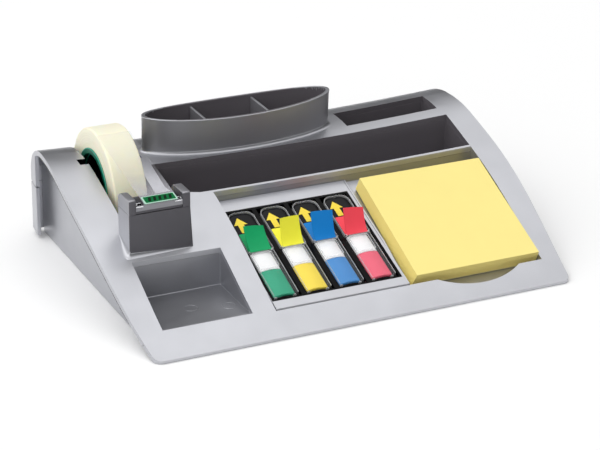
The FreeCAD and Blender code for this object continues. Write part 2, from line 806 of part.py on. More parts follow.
def make_film():
    """The tape's loose end, from the top of the roll to the blade."""
    reach = number(TAPE_Y) - number(CUTTER_Y)
    rise = size("blade_top") + size("tooth_height") - size("tape_height")
    radius = size("tape_radius") + size("clear_gap")
    far = math.hypot(reach, rise)
    lean = math.degrees(math.asin(radius / far) - math.atan2(rise, reach))
    length = math.sqrt(far * far - radius * radius)
    film = Part.makeBox(size("tape_width"), length + size("film_overhang"), size("film_thick"),
                        FreeCAD.Vector(0, -size("film_overhang"), 0))
    corner = FreeCAD.Vector(size("tape_x") - size("tape_width") / 2, number(CUTTER_Y),
                            size("blade_top") + size("tooth_height"))
    solid = feature("tape_film", film)
    solid.Placement = FreeCAD.Placement(corner, FreeCAD.Rotation(FreeCAD.Vector(1, 0, 0), lean))
    keep(solid, "tape_film")
    tab = Part.makeBox(size("tape_width") - 2 * size("tab_inset"), size("tab_length"),
                       size("tab_thick"),
                       FreeCAD.Vector(size("tab_inset"), -size("film_overhang"),
                                      size("film_thick")))
    end = feature("starter_tab", tab)
    end.Placement = solid.Placement
    keep(end, "starter_tab")


ring_body("tape_roll", "tape_radius", "(core_radius + wind_gap)", "tape_width")
ring_body("tape_core", "core_radius", "(core_radius - core_thick)", "core_width")
make_hub()
make_film()


# ------------------------------------------------------------- the note pad

def make_notes():
    left = "note_x - note_side / 2"
    keep(tilted_box("note_pad", NOTE, left, "0", "-(note_thick - note_backing)", "note_side",
                    "note_side", "note_thick - note_backing"), "note_pad")
    keep(tilted_box("note_backing", NOTE, left, "0", "-note_thick", "note_side", "note_side",
                    "note_backing"), "note_backing")


make_notes()


# ---------------------------------------------------------- the flag insert

TRAY_WIDTH = "(3 * lane_pitch + lane_width + 2 * tray_wall)"
TRAY_LEFT = "(lane_first - lane_width / 2 - tray_wall)"


def make_insert():
    """Silver frame lying in the flag bay, and the dark lane tray in it."""
    slab = tilted_box("insert_slab", INSERT, "recess_left + insert_play", BEFORE, "-insert_thick",
                      "divider_x - recess_left - 2 * insert_play", FAR, "insert_thick")
    plan = box("insert_plan", "recess_left", RECESS_FRONT + " + insert_play", "0",
               "divider_x - recess_left", "%s - %s - 2 * insert_play" % (RECESS_BACK, RECESS_FRONT),
               FAR)
    window = tilted_box("insert_window", INSERT, TRAY_LEFT, "tray_front", "-insert_thick - 1",
                        TRAY_WIDTH, "tray_length", "insert_thick + 2")
    keep(cut("insert_frame", common("insert_blank", slab, plan), window), "insert_frame")
    tray = tilted_box("tray_block", INSERT, TRAY_LEFT, "tray_front", "-insert_thick",
                      TRAY_WIDTH, "tray_length", "insert_thick - tray_drop")
    lanes = [tilted_box("lane_%d" % k, INSERT,
                        "lane_first + %d * lane_pitch - lane_width / 2" % k,
                        "tray_front + tray_wall", "-(insert_thick - tray_floor)", "lane_width",
                        "tray_length - 2 * tray_wall", "insert_thick")
             for k in range(len(COLOURS))]
    keep(cut("lane_tray", tray, *lanes), "lane_tray")


SLED_UP = "(-(insert_thick - tray_floor))"
SLED_START = "(tray_front + tray_wall + sled_play)"
STACK_UP = "(-(insert_thick - tray_floor) + sled_thick)"
STACK_START = "(tray_front + tray_wall + sled_play + flag_setback)"


def arch_end(name, k, up, thick, start, length):
    """A strip in a lane whose back end is a half round."""
    left = "lane_first + %d * lane_pitch - sled_width / 2" % k
    strip = tilted_box(name + "_strip", INSERT, left, start, up, "sled_width",
                       "(%s) - sled_width / 2" % length, thick)
    end = doc.addObject("Part::Cylinder", name + "_end")
    bind(end, Radius="sled_width / 2", Height=thick)
    tilt(end, INSERT, "lane_first + %d * lane_pitch" % k,
         "%s + (%s) - sled_width / 2" % (start, length), up)
    return fuse(name, strip, end)


def make_cassette(k, colour):
    """One clear flag dispenser: sled, flags, white ends, cover and a raised tab."""
    middle = "lane_first + %d * lane_pitch" % k
    flag_left = "%s - flag_width / 2" % middle
    base = arch_end("sled_base_" + colour, k, SLED_UP, "sled_thick", SLED_START, "sled_length")
    head = arch_end("sled_head_" + colour, k, STACK_UP, "head_thick",
                    SLED_START + " + sled_length - head_length", "head_length")
    keep(fuse("sled_" + colour, base, head), "sled_" + colour)
    keep(tilted_box("flags_" + colour, INSERT, flag_left, STACK_START, STACK_UP,
                    "flag_width", "flag_colour_length", "flag_stack"), "flags_" + colour)
    keep(tilted_box("flag_ends_" + colour, INSERT, flag_left,
                    STACK_START + " + flag_colour_length", STACK_UP,
                    "flag_width", "flag_white_length", "flag_stack"), "flag_ends_" + colour)
    side = "(cover_side + cover_gap)"
    outer = tilted_box("cover_outer_" + colour, INSERT, "%s - %s" % (flag_left, side),
                       STACK_START + " - " + side, STACK_UP, "flag_width + 2 * " + side,
                       "flag_colour_length + flag_white_length + " + side,
                       "flag_stack + cover_gap + cover_top")
    inner = tilted_box("cover_inner_" + colour, INSERT, "%s - cover_gap" % flag_left,
                       STACK_START + " - cover_gap", STACK_UP + " - 1",
                       "flag_width + 2 * cover_gap", FAR, "flag_stack + cover_gap + 1")
    keep(cut("cover_" + colour, outer, inner), "cover_" + colour)
    along = "(%s + flag_colour_length + flag_white_length)" % STACK_START
    make_tab(k, colour, along)


def make_tab(k, colour, along):
    """The next flag's coloured end, pulled up out of the dispenser."""
    up = "%s + flag_stack + cover_gap + cover_top + tab_gap" % STACK_UP
    frame = in_frame(INSERT, along, up) + ("tab_angle",)
    keep(tilted_box("flag_tab_" + colour, frame,
                    "lane_first + %d * lane_pitch - flag_width / 2" % k, "0", "0",
                    "flag_width", "tab_rise", "tab_sheet"), "flag_tab_" + colour)


make_insert()
for lane, flag_colour in enumerate(COLOURS):
    make_cassette(lane, flag_colour)


# ---------------------------------------------------- walls, base and feet

def make_side(label, left):
    wall = box(label + "_block", left, FRONT + " + side_front_gap", "0", "side_thick",
               DEPTH + " - side_front_gap - back_skin_thick - clear_gap", FAR)
    keep(common(label, wall, under_space), label)


def base_places():
    x = "(%s / 2 - foot_inset)" % INNER_SPAN
    front = FRONT + " + base_front_gap + foot_inset"
    back = BACK + " - cheek_lap - foot_inset"
    return [("-" + x, front), (x, front), ("-" + x, back), (x, back)]


def make_base():
    plate = box("base_block", "-%s / 2 + base_gap" % INNER_SPAN, FRONT + " + base_front_gap",
                "base_lift", INNER_SPAN + " - 2 * base_gap",
                DEPTH + " - base_front_gap - back_skin_thick - base_gap", "base_thick")
    heads = [cylinder("head_space_%d" % k, x, y, "base_lift - 1", "screw_head_radius + 0.1",
                      "screw_head_thick + 1")
             for k, (x, y) in enumerate(SHELL_BOSSES + BAY_BOSSES)]
    keep(cut("base_plate", plate, screw_bores("base_bores", SHELL_BOSSES + BAY_BOSSES), *heads),
         "base_plate")
    feet = [cylinder("foot_%d" % k, x, y, "0", "foot_radius", "base_lift")
            for k, (x, y) in enumerate(base_places())]
    keep(fuse("rubber_feet", *feet), "rubber_feet")
    screws = []
    for k, (x, y) in enumerate(SHELL_BOSSES + BAY_BOSSES):
        shank = cylinder("shank_%d" % k, x, y, "base_lift", "screw_radius", "screw_reach - 1")
        head = cylinder("head_%d" % k, x, y, "base_lift", "screw_head_radius", "screw_head_thick")
        screws += [shank, head]
    keep(fuse("base_screws", *screws), "base_screws")


make_side("left_side", "-side_span / 2")
make_side("right_side", "side_span / 2 - side_thick")
make_base()


# --------------------------------------------------------------- the drawer

DRAWER_Y = "(%s + drawer_front)" % FRONT
FACE_INNER = "(%s - back_skin_thick)" % BACK


def make_drawer():
    """Shallow tray behind a face that continues the shell's curled back."""
    length = "(%s - %s)" % (FACE_INNER, DRAWER_Y)
    block = box("drawer_block", DRAWER_LEFT, DRAWER_Y, "drawer_lift", DRAWER_WIDTH, length,
                "drawer_height")
    space = box("drawer_space", DRAWER_LEFT + " + drawer_wall", DRAWER_Y + " + drawer_wall",
                "drawer_lift + drawer_wall", DRAWER_WIDTH + " - 2 * drawer_wall",
                length + " - 2 * drawer_wall", "drawer_height")
    keep(cut("drawer_tray", block, space), "drawer_tray")


def make_drawer_face():
    inset = size("back_skin_thick")
    low = size("drawer_face_floor")
    high = number(FACE_TOP)
    outer = plan_prism(0, 0, low, high)
    band = half_space(number(BACK) - size("cheek_lap"))
    inner = plan_prism(inset, inset, low - 1, high + 1)
    face = outer.common(band).cut(inner)
    pull = Part.makeBox(size("pull_width"), size("pull_depth"), size("pull_height"),
                        FreeCAD.Vector(-size("pull_width") / 2,
                                       number(BACK) - size("pull_depth"), low))
    keep(feature("drawer_face", face.cut(pull)), "drawer_face")


def make_rails():
    length = "(%s - %s - 2)" % (FACE_INNER, DRAWER_Y)
    left = box("drawer_rail_left", DRAWER_LEFT + " - clear_gap - drawer_rail_width", DRAWER_Y,
               BASE_TOP, "drawer_rail_width", length, "drawer_rail_height")
    right = box("drawer_rail_right", DRAWER_RIGHT + " + clear_gap", DRAWER_Y, BASE_TOP,
                "drawer_rail_width", length, "drawer_rail_height")
    keep(left, "drawer_rail_left")
    keep(right, "drawer_rail_right")


make_drawer()
make_drawer_face()
make_rails()
doc.recompute()


# -------------------------------------------------------------------- export

def check_and_export():
    for thing in doc.Objects:
        if "Invalid" in thing.State or "Error" in thing.State:
            raise RuntimeError("failed object: " + thing.Name)
    for thing in nodes:
        if thing.Shape.isNull() or not thing.Shape.isValid() or not thing.Shape.Solids:
            raise RuntimeError("bad shape: " + thing.Label)
    os.makedirs("parts", exist_ok=True)
    for thing in nodes:
        thing.Shape.exportStep("parts/%s.step" % thing.Label)
        b = thing.Shape.BoundBox
        print("%-20s solids %d  x %.1f %.1f  y %.1f %.1f  z %.1f %.1f  vol %.0f" % (
            thing.Label, len(thing.Shape.Solids), b.XMin, b.XMax, b.YMin, b.YMax,
            b.ZMin, b.ZMax, thing.Shape.Volume))


check_and_export()
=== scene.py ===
import json
import random
from math import asin, atan2, cos, degrees, hypot, pi, radians, sin, sqrt

import bmesh
import bpy
from mathutils import Matrix, Vector
from mathutils.bvhtree import BVHTree
from mathutils.interpolate import poly_3d_calc


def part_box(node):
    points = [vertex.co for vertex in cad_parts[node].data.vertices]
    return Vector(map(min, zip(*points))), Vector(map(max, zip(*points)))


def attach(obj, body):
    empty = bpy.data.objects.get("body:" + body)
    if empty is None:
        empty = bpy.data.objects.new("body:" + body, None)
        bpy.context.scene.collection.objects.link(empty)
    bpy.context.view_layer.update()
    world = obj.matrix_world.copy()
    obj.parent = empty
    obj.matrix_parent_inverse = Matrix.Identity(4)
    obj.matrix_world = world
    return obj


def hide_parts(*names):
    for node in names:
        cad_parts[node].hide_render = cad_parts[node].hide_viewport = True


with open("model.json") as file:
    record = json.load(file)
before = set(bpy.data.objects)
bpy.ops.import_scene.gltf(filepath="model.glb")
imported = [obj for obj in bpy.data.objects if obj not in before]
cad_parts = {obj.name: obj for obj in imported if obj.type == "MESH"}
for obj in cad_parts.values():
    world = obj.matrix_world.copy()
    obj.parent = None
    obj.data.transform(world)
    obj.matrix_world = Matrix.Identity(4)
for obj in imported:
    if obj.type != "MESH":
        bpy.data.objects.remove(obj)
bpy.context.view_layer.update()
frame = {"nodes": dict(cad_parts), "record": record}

NODES = frame["nodes"]
SLOTS = {entry["node"]: entry["material_slot"] for entry in frame["record"]["subparts"]}
MM = 0.001
COLOURS = ("green", "yellow", "blue", "red")


# ------------ small helpers

def ink(red, green, blue):
    """A colour as it should look on screen, 0 to 255, for a shader's socket."""
    def straight(level):
        level /= 255.0
        return level / 12.92 if level <= 0.04045 else ((level + 0.055) / 1.055) ** 2.4
    return (straight(red), straight(green), straight(blue), 1.0)


def mix(a, b, t):
    return a + (b - a) * t


def shares(count):
    """From 0 to 1 in that many steps."""
    return [k / count for k in range(count + 1)]


def full_turn(count):
    """The angles of that many places round a circle."""
    return [2 * pi * k / count for k in range(count)]


def at_mm(x, y, z):
    """A point given in millimetres."""
    return Vector((x, y, z)) * MM


def add_object(name, data):
    """A new object that is linked to the scene."""
    made = bpy.data.objects.new(name, data)
    bpy.context.scene.collection.objects.link(made)
    return made


def add_node(tree, kind, inputs=None, **props):
    """A shader node with its properties set, and its inputs linked or filled in."""
    node = tree.nodes.new("ShaderNode" + kind)
    for key, value in props.items():
        setattr(node, key, value)
    for key, value in (inputs or {}).items():
        if isinstance(value, bpy.types.NodeSocket):
            tree.links.new(value, node.inputs[key])
        else:
            node.inputs[key].default_value = value
    return node


def set_all(mesh, what, value):
    """Gives every face of a mesh the same value of a property."""
    mesh.polygons.foreach_set(what, [value] * len(mesh.polygons))


def cover(mesh, *names):
    """Gives a mesh these materials in place of its own."""
    mesh.materials.clear()
    for name in names:
        mesh.materials.append(MATERIALS[name])


def search_tree(node):
    """A CAD node's faces, for rays."""
    mesh = NODES[node].data
    return BVHTree.FromPolygons([v.co for v in mesh.vertices],
                                [list(p.vertices) for p in mesh.polygons])


class Incline:
    """A frame tilted about X: x stays, along runs up the slope, up stands off it.
    All its measures are in millimetres."""

    def __init__(self, y, z, tilt):
        a = radians(tilt)
        self.origin = Vector((0.0, y, z))
        self.along = Vector((0.0, cos(a), sin(a)))
        self.up = Vector((0.0, -sin(a), cos(a)))

    def at(self, x, along, up):
        return (Vector((x, 0, 0)) + self.origin + self.along * along + self.up * up) * MM

    def cut(self, section, along):
        return [self.at(x, along, up) for x, up in section]

    def layer(self, outline, up):
        return [self.at(x, along, up) for x, along in outline]


LEVEL = Incline(0.0, 0.0, 0.0)


# ------------ materials

class Shader:
    """A node material with a Principled shader and object coordinates."""

    def __init__(self, name, colour, rough, metallic=0.0, specular=0.5):
        self.material = bpy.data.materials.new(name)
        self.material.use_nodes = True
        self.tree = self.material.node_tree
        self.bsdf = self.tree.nodes["Principled BSDF"]
        self.colour = colour
        self.set("Base Color", colour)
        self.set("Roughness", rough)
        self.set("Metallic", metallic)
        self.set("Specular IOR Level", specular)
        self.place = self.add("TexCoord").outputs["Object"]
        self.height = None

    def set(self, socket, value):
        self.bsdf.inputs[socket].default_value = value

    def add(self, kind, inputs=None, **props):
        return add_node(self.tree, kind, inputs, **props)

    def link(self, output, socket):
        self.tree.links.new(output, self.bsdf.inputs[socket])

    def noise(self, per_metre, detail=2.0, stretch=(1, 1, 1), seed=0.0):
        mapping = self.add("Mapping", {"Vector": self.place, "Scale": stretch,
                                       "Location": (seed, seed, seed)})
        return self.add("TexNoise", {"Vector": mapping.outputs[0], "Scale": per_metre,
                                     "Detail": detail}).outputs[0]

    def ramp(self, value, low, high, start=0.0, end=1.0):
        """Spreads the stretch low..high of a value over start..end."""
        return self.add("MapRange", {"Value": value, 1: low, 2: high, 3: start,
                                     4: end}).outputs[0]

    def shade(self, dark, light, value):
        """Base colour that goes from dark to light along a value from 0 to 1."""
        blend = self.add("Mix", {"Factor": value}, data_type="RGBA")
        blend.inputs[6].default_value = dark
        blend.inputs[7].default_value = light
        self.link(blend.outputs[2], "Base Color")

    def vary_colour(self, value, dark, light):
        self.shade(*([*(min(1.0, c * k) for c in self.colour[:3]), 1.0]
                     for k in (dark, light)), value)

    def vary_rough(self, value, smooth, rough):
        self.link(self.ramp(value, 0.3, 0.7, smooth, rough), "Roughness")

    def bump(self, value, depth, strength=1.0):
        """Adds relief of that depth in metres on top of what is there."""
        node = self.add("Bump", {"Height": value, "Distance": depth, "Strength": strength})
        if self.height:
            self.tree.links.new(self.height, node.inputs["Normal"])
        self.height = node.outputs[0]
        self.link(self.height, "Normal")

    def from_axis(self, centre):
        """Distance from an axis along X through a point."""
        away = self.add("VectorMath", {0: self.place, 1: centre}, operation="SUBTRACT")
        flat = self.add("VectorMath", {0: away.outputs[0], 1: (0, 1, 1)}, operation="MULTIPLY")
        length = self.add("VectorMath", {0: flat.outputs[0]}, operation="LENGTH")
        return length.outputs["Value"]


def moulded(name, colour, rough, metallic=0.0, grain=0.00002, flake=0.06, specular=0.5):
    """Moulded plastic: a spark-eroded grain, slow shade changes and a fine flake."""
    s = Shader(name, colour, rough, metallic, specular)
    slow = s.noise(22.0, 3.0)
    fine = s.noise(2600.0, 1.0, seed=3.0)
    both = s.add("Math", {0: slow, 1: s.ramp(fine, 0.3, 0.7)}, operation="ADD")
    s.vary_colour(s.ramp(both.outputs[0], 0.4, 1.6), 1.0 - flake, 1.0 + flake)
    s.vary_rough(s.noise(60.0, 4.0, seed=7.0), rough - 0.04, rough + 0.05)
    s.bump(s.noise(1500.0, 2.0, seed=1.0), grain)
    return s.material


def painted_shade_ramp(name, high, low):
    """Moulded plastic with painted shade: darker at the top, lightening downwards over the
    lower half of the cutter.
    """
    s = Shader(name, high, 0.36, 0.7)
    split = s.add("SeparateXYZ", {0: s.place})
    s.shade(ink(*low), high, s.ramp(split.outputs["Z"], *FLANK_SHADE_Z))
    s.bump(s.noise(9000), 0.000003)
    return s.material


def metal(name, colour, rough):
    """Rolled steel with a brushed grain."""
    s = Shader(name, colour, rough, 1.0)
    s.vary_colour(s.noise(200.0, 3.0, (1, 6, 6)), 0.9, 1.05)
    s.vary_rough(s.noise(300.0, 3.0, (1, 8, 8)), rough - 0.08, rough + 0.1)
    s.bump(s.noise(2500.0, 2.0, (0.3, 6, 6)), 0.00001)
    return s.material


def printed_film(name, colour, rough=0.24, coat=0.5, specular=0.5):
    """Printed plastic film with a little unevenness and a coat of gloss."""
    s = Shader(name, colour, rough, specular=specular)
    s.set("Coat Weight", coat)
    s.set("Coat Roughness", 0.08)
    s.vary_colour(s.noise(90.0, 3.0), 0.93, 1.05)
    s.bump(s.noise(160.0, 2.0, seed=2.0), 0.00005)
    return s.material


def clear_plastic(name, tint, face_on, edge_on):
    """Clear polystyrene: nearly unseen face on, and pale where it turns away as a painted
    sheen.
    """
    s = Shader(name, tint, 0.08, specular=0.8)
    s.set("Coat Weight", 1.0)
    s.set("Coat Roughness", 0.04)
    # opacity rising towards the turned-away edges: painted sheen
    facing = s.add("LayerWeight", {"Blend": 0.35}).outputs["Facing"]
    s.link(s.ramp(facing, 0.25, 0.95, face_on, edge_on), "Alpha")
    s.vary_colour(s.noise(60.0, 2.0), 0.94, 1.03)
    s.bump(s.noise(150.0, 2.0), 0.00003)
    return s.material


def paper(name, colour):
    """Uncoated paper: soft fibres and a faint mottling."""
    s = Shader(name, colour, 0.85, specular=0.25)
    s.vary_colour(s.noise(70.0, 4.0), 0.97, 1.02)
    s.bump(s.noise(1800.0, 3.0), 0.00002)
    return s.material


def wound_film(name, colour, centre):
    """Rolled up tape: rings on its ends and a soft glow through its layers."""
    s = Shader(name, colour, 0.5, specular=0.4)
    s.set("Subsurface Weight", 0.5)
    s.set("Subsurface Radius", (0.006, 0.0045, 0.0025))
    s.set("Coat Weight", 0.15)
    s.set("Coat Roughness", 0.35)
    rings = s.add("TexNoise", {"W": s.from_axis(centre), "Scale": 1500.0, "Detail": 2.0},
                  noise_dimensions="1D").outputs[0]
    s.vary_colour(s.ramp(rings, 0.3, 0.7), 0.95, 1.02)
    s.bump(rings, 0.00002)
    s.bump(s.noise(60.0, 2.0, (6, 1, 1)), 0.00003)
    return s.material


def matte_film(name, colour, near_blade, near_roll):
    """One layer of invisible tape: matte and hazy at the blade, clearer towards the roll."""
    s = Shader(name, colour, 0.8, specular=0.05)
    split = s.add("SeparateXYZ", {0: s.place})
    s.link(s.ramp(split.outputs["Y"], *FILM_Y, near_blade, near_roll), "Alpha")
    s.vary_colour(s.noise(80.0, 3.0, (4, 1, 1)), 0.96, 1.03)
    s.bump(s.noise(70.0, 2.0, (5, 1, 1)), 0.00006)
    return s.material


TAPE_MIDDLE = (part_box("tape_roll")[0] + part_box("tape_roll")[1]) / 2
FLANK_SHADE_Z = (0.034, 0.058)  # heights between which the cutter's flanks change colour, from painted shade above to painted light below
FILM_Y = (-0.026, 0.002)  # where the film goes from hazy to clear
SILVER = (0.35, 0.85, 0.000003, 0.012)
STACKED, LOOSE = (0.5, 0.0, 0.3), (0.6, 0.0, 0.3)
BARE = (0.7, 0.0, 0.15)
LINED = (0.4, 0.3)

# each maker's materials, with what follows the name
RECIPES = {
    moulded: {
        "silver_plastic": ((188, 189, 194), *SILVER),
        # a darker copy of the silver: painted shade
        "silver_shade": ((167, 168, 173), *SILVER),
        # grey: a darker copy of the silver, painted shade on the cup's walls
        "grey_plastic": ((158, 158, 163), 0.34, 0.6, 0.000004, 0.02),
        # dark: on the shell's pocket walls and inside the cup it is painted shade
        "dark_plastic": ((98, 94, 99), 0.5, 0.1),
        # charcoal: on the cutter it is painted shade on the front and inner faces
        "charcoal_plastic": ((88, 87, 92), 0.36, 0.6, 0.000004, 0.02),
        "black_plastic": ((6, 6, 7), 0.2, 0.0, 0.000006, 0.06, 0.06),
        "sled_gloss": ((10, 10, 13), 0.16, 0.0, 0.000002, 0.06, 0.12),
        "feet_rubber": ((40, 40, 42), 0.8)},
    # the cutter's flanks and ears' tops: painted light, darkened towards the top as painted
    # shade
    painted_shade_ramp: {"cutter_flank": ((158, 158, 163), (196, 197, 202))},
    metal: {
        "blade_steel": ((150, 150, 155), 0.4),
        "clip_steel": ((240, 241, 244), 0.2),
        "screw_steel": ((190, 191, 195), 0.35)},
    paper: {
        "note_paper": ((252, 235, 148),),
        "backing_card": ((214, 202, 150),)},
    wound_film: {"tape": ((255, 247, 221), TAPE_MIDDLE)},
    matte_film: {"film": ((208, 207, 214), 0.42, 0.05)},
    printed_film: {
        # the core: the card's dark green is painted shade in its bore, the thin light lines
        # are painted highlights
        "core_card": ((0, 62, 34), *LINED),
        "core_line": ((40, 168, 140), *LINED),
        "core_edge": ((0, 104, 82), *LINED),
        "tab_green": ((0, 106, 56), *BARE),
        "tab_pale": ((176, 222, 200), 0.45, 0.2),
        "tab_dark": ((0, 30, 12), *BARE),
        "flag_green": ((34, 164, 126), *STACKED),
        "flag_yellow": ((253, 224, 72), *STACKED),
        "flag_blue": ((64, 140, 208), *STACKED),
        "flag_red": ((240, 98, 122), *STACKED),
        "flag_white": ((248, 248, 249),),
        "tab_film_green": ((0, 162, 98), *LOOSE),
        "tab_film_yellow": ((255, 248, 64), *LOOSE),
        "tab_film_blue": ((0, 126, 206), *LOOSE),
        "tab_film_red": ((252, 74, 90), *LOOSE)},
    clear_plastic: {
        "clear_plastic": ((228, 232, 235), 0.02, 0.2),
        # a paler, more opaque clear: painted highlight on the covers' edges
        "clear_rim": ((244, 246, 248), 0.3, 0.75)}}
MATERIALS = {name: make(name, ink(*colour), *values) for make, recipes in RECIPES.items()
             for name, (colour, *values) in recipes.items()}


# ------------ mesh forms

class Form:
    """Collects the points and faces of one piece."""

    def __init__(self):
        self.points = []
        self.faces = []
        self.inks = []

    def add(self, points, faces, tone=0):
        base = len(self.points)
        self.points += [tuple(p) for p in points]
        self.faces += [tuple(base + k for k in face) for face in faces]
        self.inks += [tone] * len(faces)
        return self

    def loft(self, rings, tone=0, start=True, end=True, loop=False):
        """Joins closed rings of equally many points, with flat ends or back to the first."""
        count = len(rings[0])
        points = [p for ring in rings for p in ring]
        faces = []
        for k in range(len(rings) if loop else len(rings) - 1):
            low, high = k * count, (k + 1) % len(rings) * count
            for i in range(count):
                j = (i + 1) % count
                faces.append((low + i, low + j, high + j, high + i))
        if start and not loop:
            faces.append(tuple(reversed(range(count))))
        if end and not loop:
            faces.append(tuple(range((len(rings) - 1) * count, len(rings) * count)))
        return self.add(points, faces, tone)

    def sheet(self, rows, thick):
        """A grid of points, rows of equally many, made into a sheet of that thickness."""
        wide, long = len(rows[0]) - 1, len(rows) - 1
        rings = []
        for r, row in enumerate(rows):
            top, low = [], []
            for c, point in enumerate(row):
                across = row[min(c + 1, wide)] - row[max(c - 1, 0)]
                down = rows[min(r + 1, long)][c] - rows[max(r - 1, 0)][c]
                off = across.cross(down).normalized() * (thick / 2)
                top.append(point + off)
                low.append(point - off)
            rings.append(top + low[::-1])
        return self.loft(rings)

    def build(self, name, slots, body="organizer", replaces=(), smooth=35):
        """Makes the object, rides it on its body and hides the nodes it stands for."""
        slots = (slots,) if isinstance(slots, str) else slots
        mesh = bpy.data.meshes.new(name)
        mesh.from_pydata(self.points, [], self.faces)
        cover(mesh, *slots)
        mesh.polygons.foreach_set("material_index", self.inks)
        tidy_normals(mesh)
        set_all(mesh, "use_smooth", True)
        mesh.set_sharp_from_angle(angle=radians(smooth))
        piece = add_object(name, mesh)
        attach(piece, body)
        if replaces:
            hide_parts(*replaces)
        return piece


def tidy_normals(mesh):
    """Turns every face outwards."""
    form = bmesh.new()
    form.from_mesh(mesh)
    bmesh.ops.recalc_face_normals(form, faces=form.faces)
    form.to_mesh(mesh)
    form.free()
    mesh.update()


def quarter(cx, cy, radius, start, steps):
    """Points of a quarter circle about a centre, from a start angle in degrees."""
    return [(cx + radius * cos(a), cy + radius * sin(a))
            for a in (radians(start + 90.0 * k / steps) for k in range(steps + 1))]


def rounded_box(x0, x1, y0, y1, radius, steps=4):
    """Outline of a rectangle with round corners, counter-clockwise."""
    radius = min(radius, (x1 - x0) / 2, (y1 - y0) / 2)
    left, right, near, far = x0 + radius, x1 - radius, y0 + radius, y1 - radius
    return (quarter(right, near, radius, -90, steps) + quarter(right, far, radius, 0, steps)
            + quarter(left, far, radius, 90, steps) + quarter(left, near, radius, 180, steps))


def arched_strip(half, y0, y1, middle, radius=4.8, steps=8):
    """Outline of a strip whose far corners are well rounded."""
    outline = [(middle - half, y0), (middle + half, y0)]
    for side, start in ((1, 0), (-1, 90)):
        outline += quarter(middle + side * (half - radius), y1 - radius, radius, start, steps)
    return outline


def crowned(x0, x1, low, high, crown, shoulder, steps=8):
    """Cross-section with a crowned top and round shoulders, counter-clockwise."""
    edge = high - crown
    section = [(x0, low), (x1, low)] + quarter(x1 - shoulder, edge - shoulder, shoulder, 0, 3)
    for t in shares(steps)[1:-1]:
        section.append((mix(x1 - shoulder, x0 + shoulder, t),
                        edge + crown * (1 - (2 * t - 1) ** 2)))
    return section + quarter(x0 + shoulder, edge - shoulder, shoulder, 90, 3)


def shrunk(section, by):
    """A section drawn in by that much on each side."""
    xs, ys = zip(*section)
    cx, cy = (min(xs) + max(xs)) / 2, (min(ys) + max(ys)) / 2
    kx = 1 - 2 * by / (max(xs) - min(xs))
    ky = 1 - 2 * by / (max(ys) - min(ys))
    return [(cx + (x - cx) * kx, cy + (y - cy) * ky) for x, y in section]


def soft_levels(low, high, edge):
    """Levels from low to high as (place, how far the outline is drawn in)."""
    return ((low, edge), (low + 0.3 * edge, 0.3 * edge), (low + edge, 0.0),
            (high - edge, 0.0), (high - 0.3 * edge, 0.3 * edge), (high, edge))


def bar(form, slope, section, start, end, edge, tone=0):
    """A section (x, up) drawn out along a slope, with its end edges broken."""
    return form.loft([slope.cut(shrunk(section, by), along)
                      for along, by in soft_levels(start, end, edge)], tone)


def plate(form, slope, outline, levels, tone=0, loop=False):
    """An outline (x, along) raised in levels of (height, how far it is drawn in)."""
    return form.loft([slope.layer(shrunk(outline, by), up) for up, by in levels],
                     tone, loop=loop)


# ------------ finish of the CAD nodes

def rounding(piece, width, index=-1):
    weld = piece.modifiers.new("weld", "WELD")
    weld.merge_threshold = 1e-6
    bevel = piece.modifiers.new("rounded edges", "BEVEL")
    bevel.width = width
    bevel.segments = 3
    bevel.limit_method = "ANGLE"
    bevel.angle_limit = radians(35)
    bevel.use_clamp_overlap = True
    bevel.material = index
    return bevel


PAINTED_SHADE_NODES = {"clip_tray": "silver_shade"}  # nodes that get a darker copy of their material as painted shade


def dress(node, width=0.0):
    """Gives a CAD node its material and breaks its sharp edges."""
    piece = NODES[node]
    cover(piece.data, PAINTED_SHADE_NODES.get(node, SLOTS[node]))
    if width:
        rounding(piece, width).harden_normals = True


SLIVER = 2e-8  # a face smaller than this, in square metres, has no sure normal
NEAR = 5e-5  # how near an old face has to be to a new corner
SAME_WAY = 0.9  # least cosine between faces that count as the same
INWARDS = 0.03  # how far a corner's test spot is moved to its face's middle


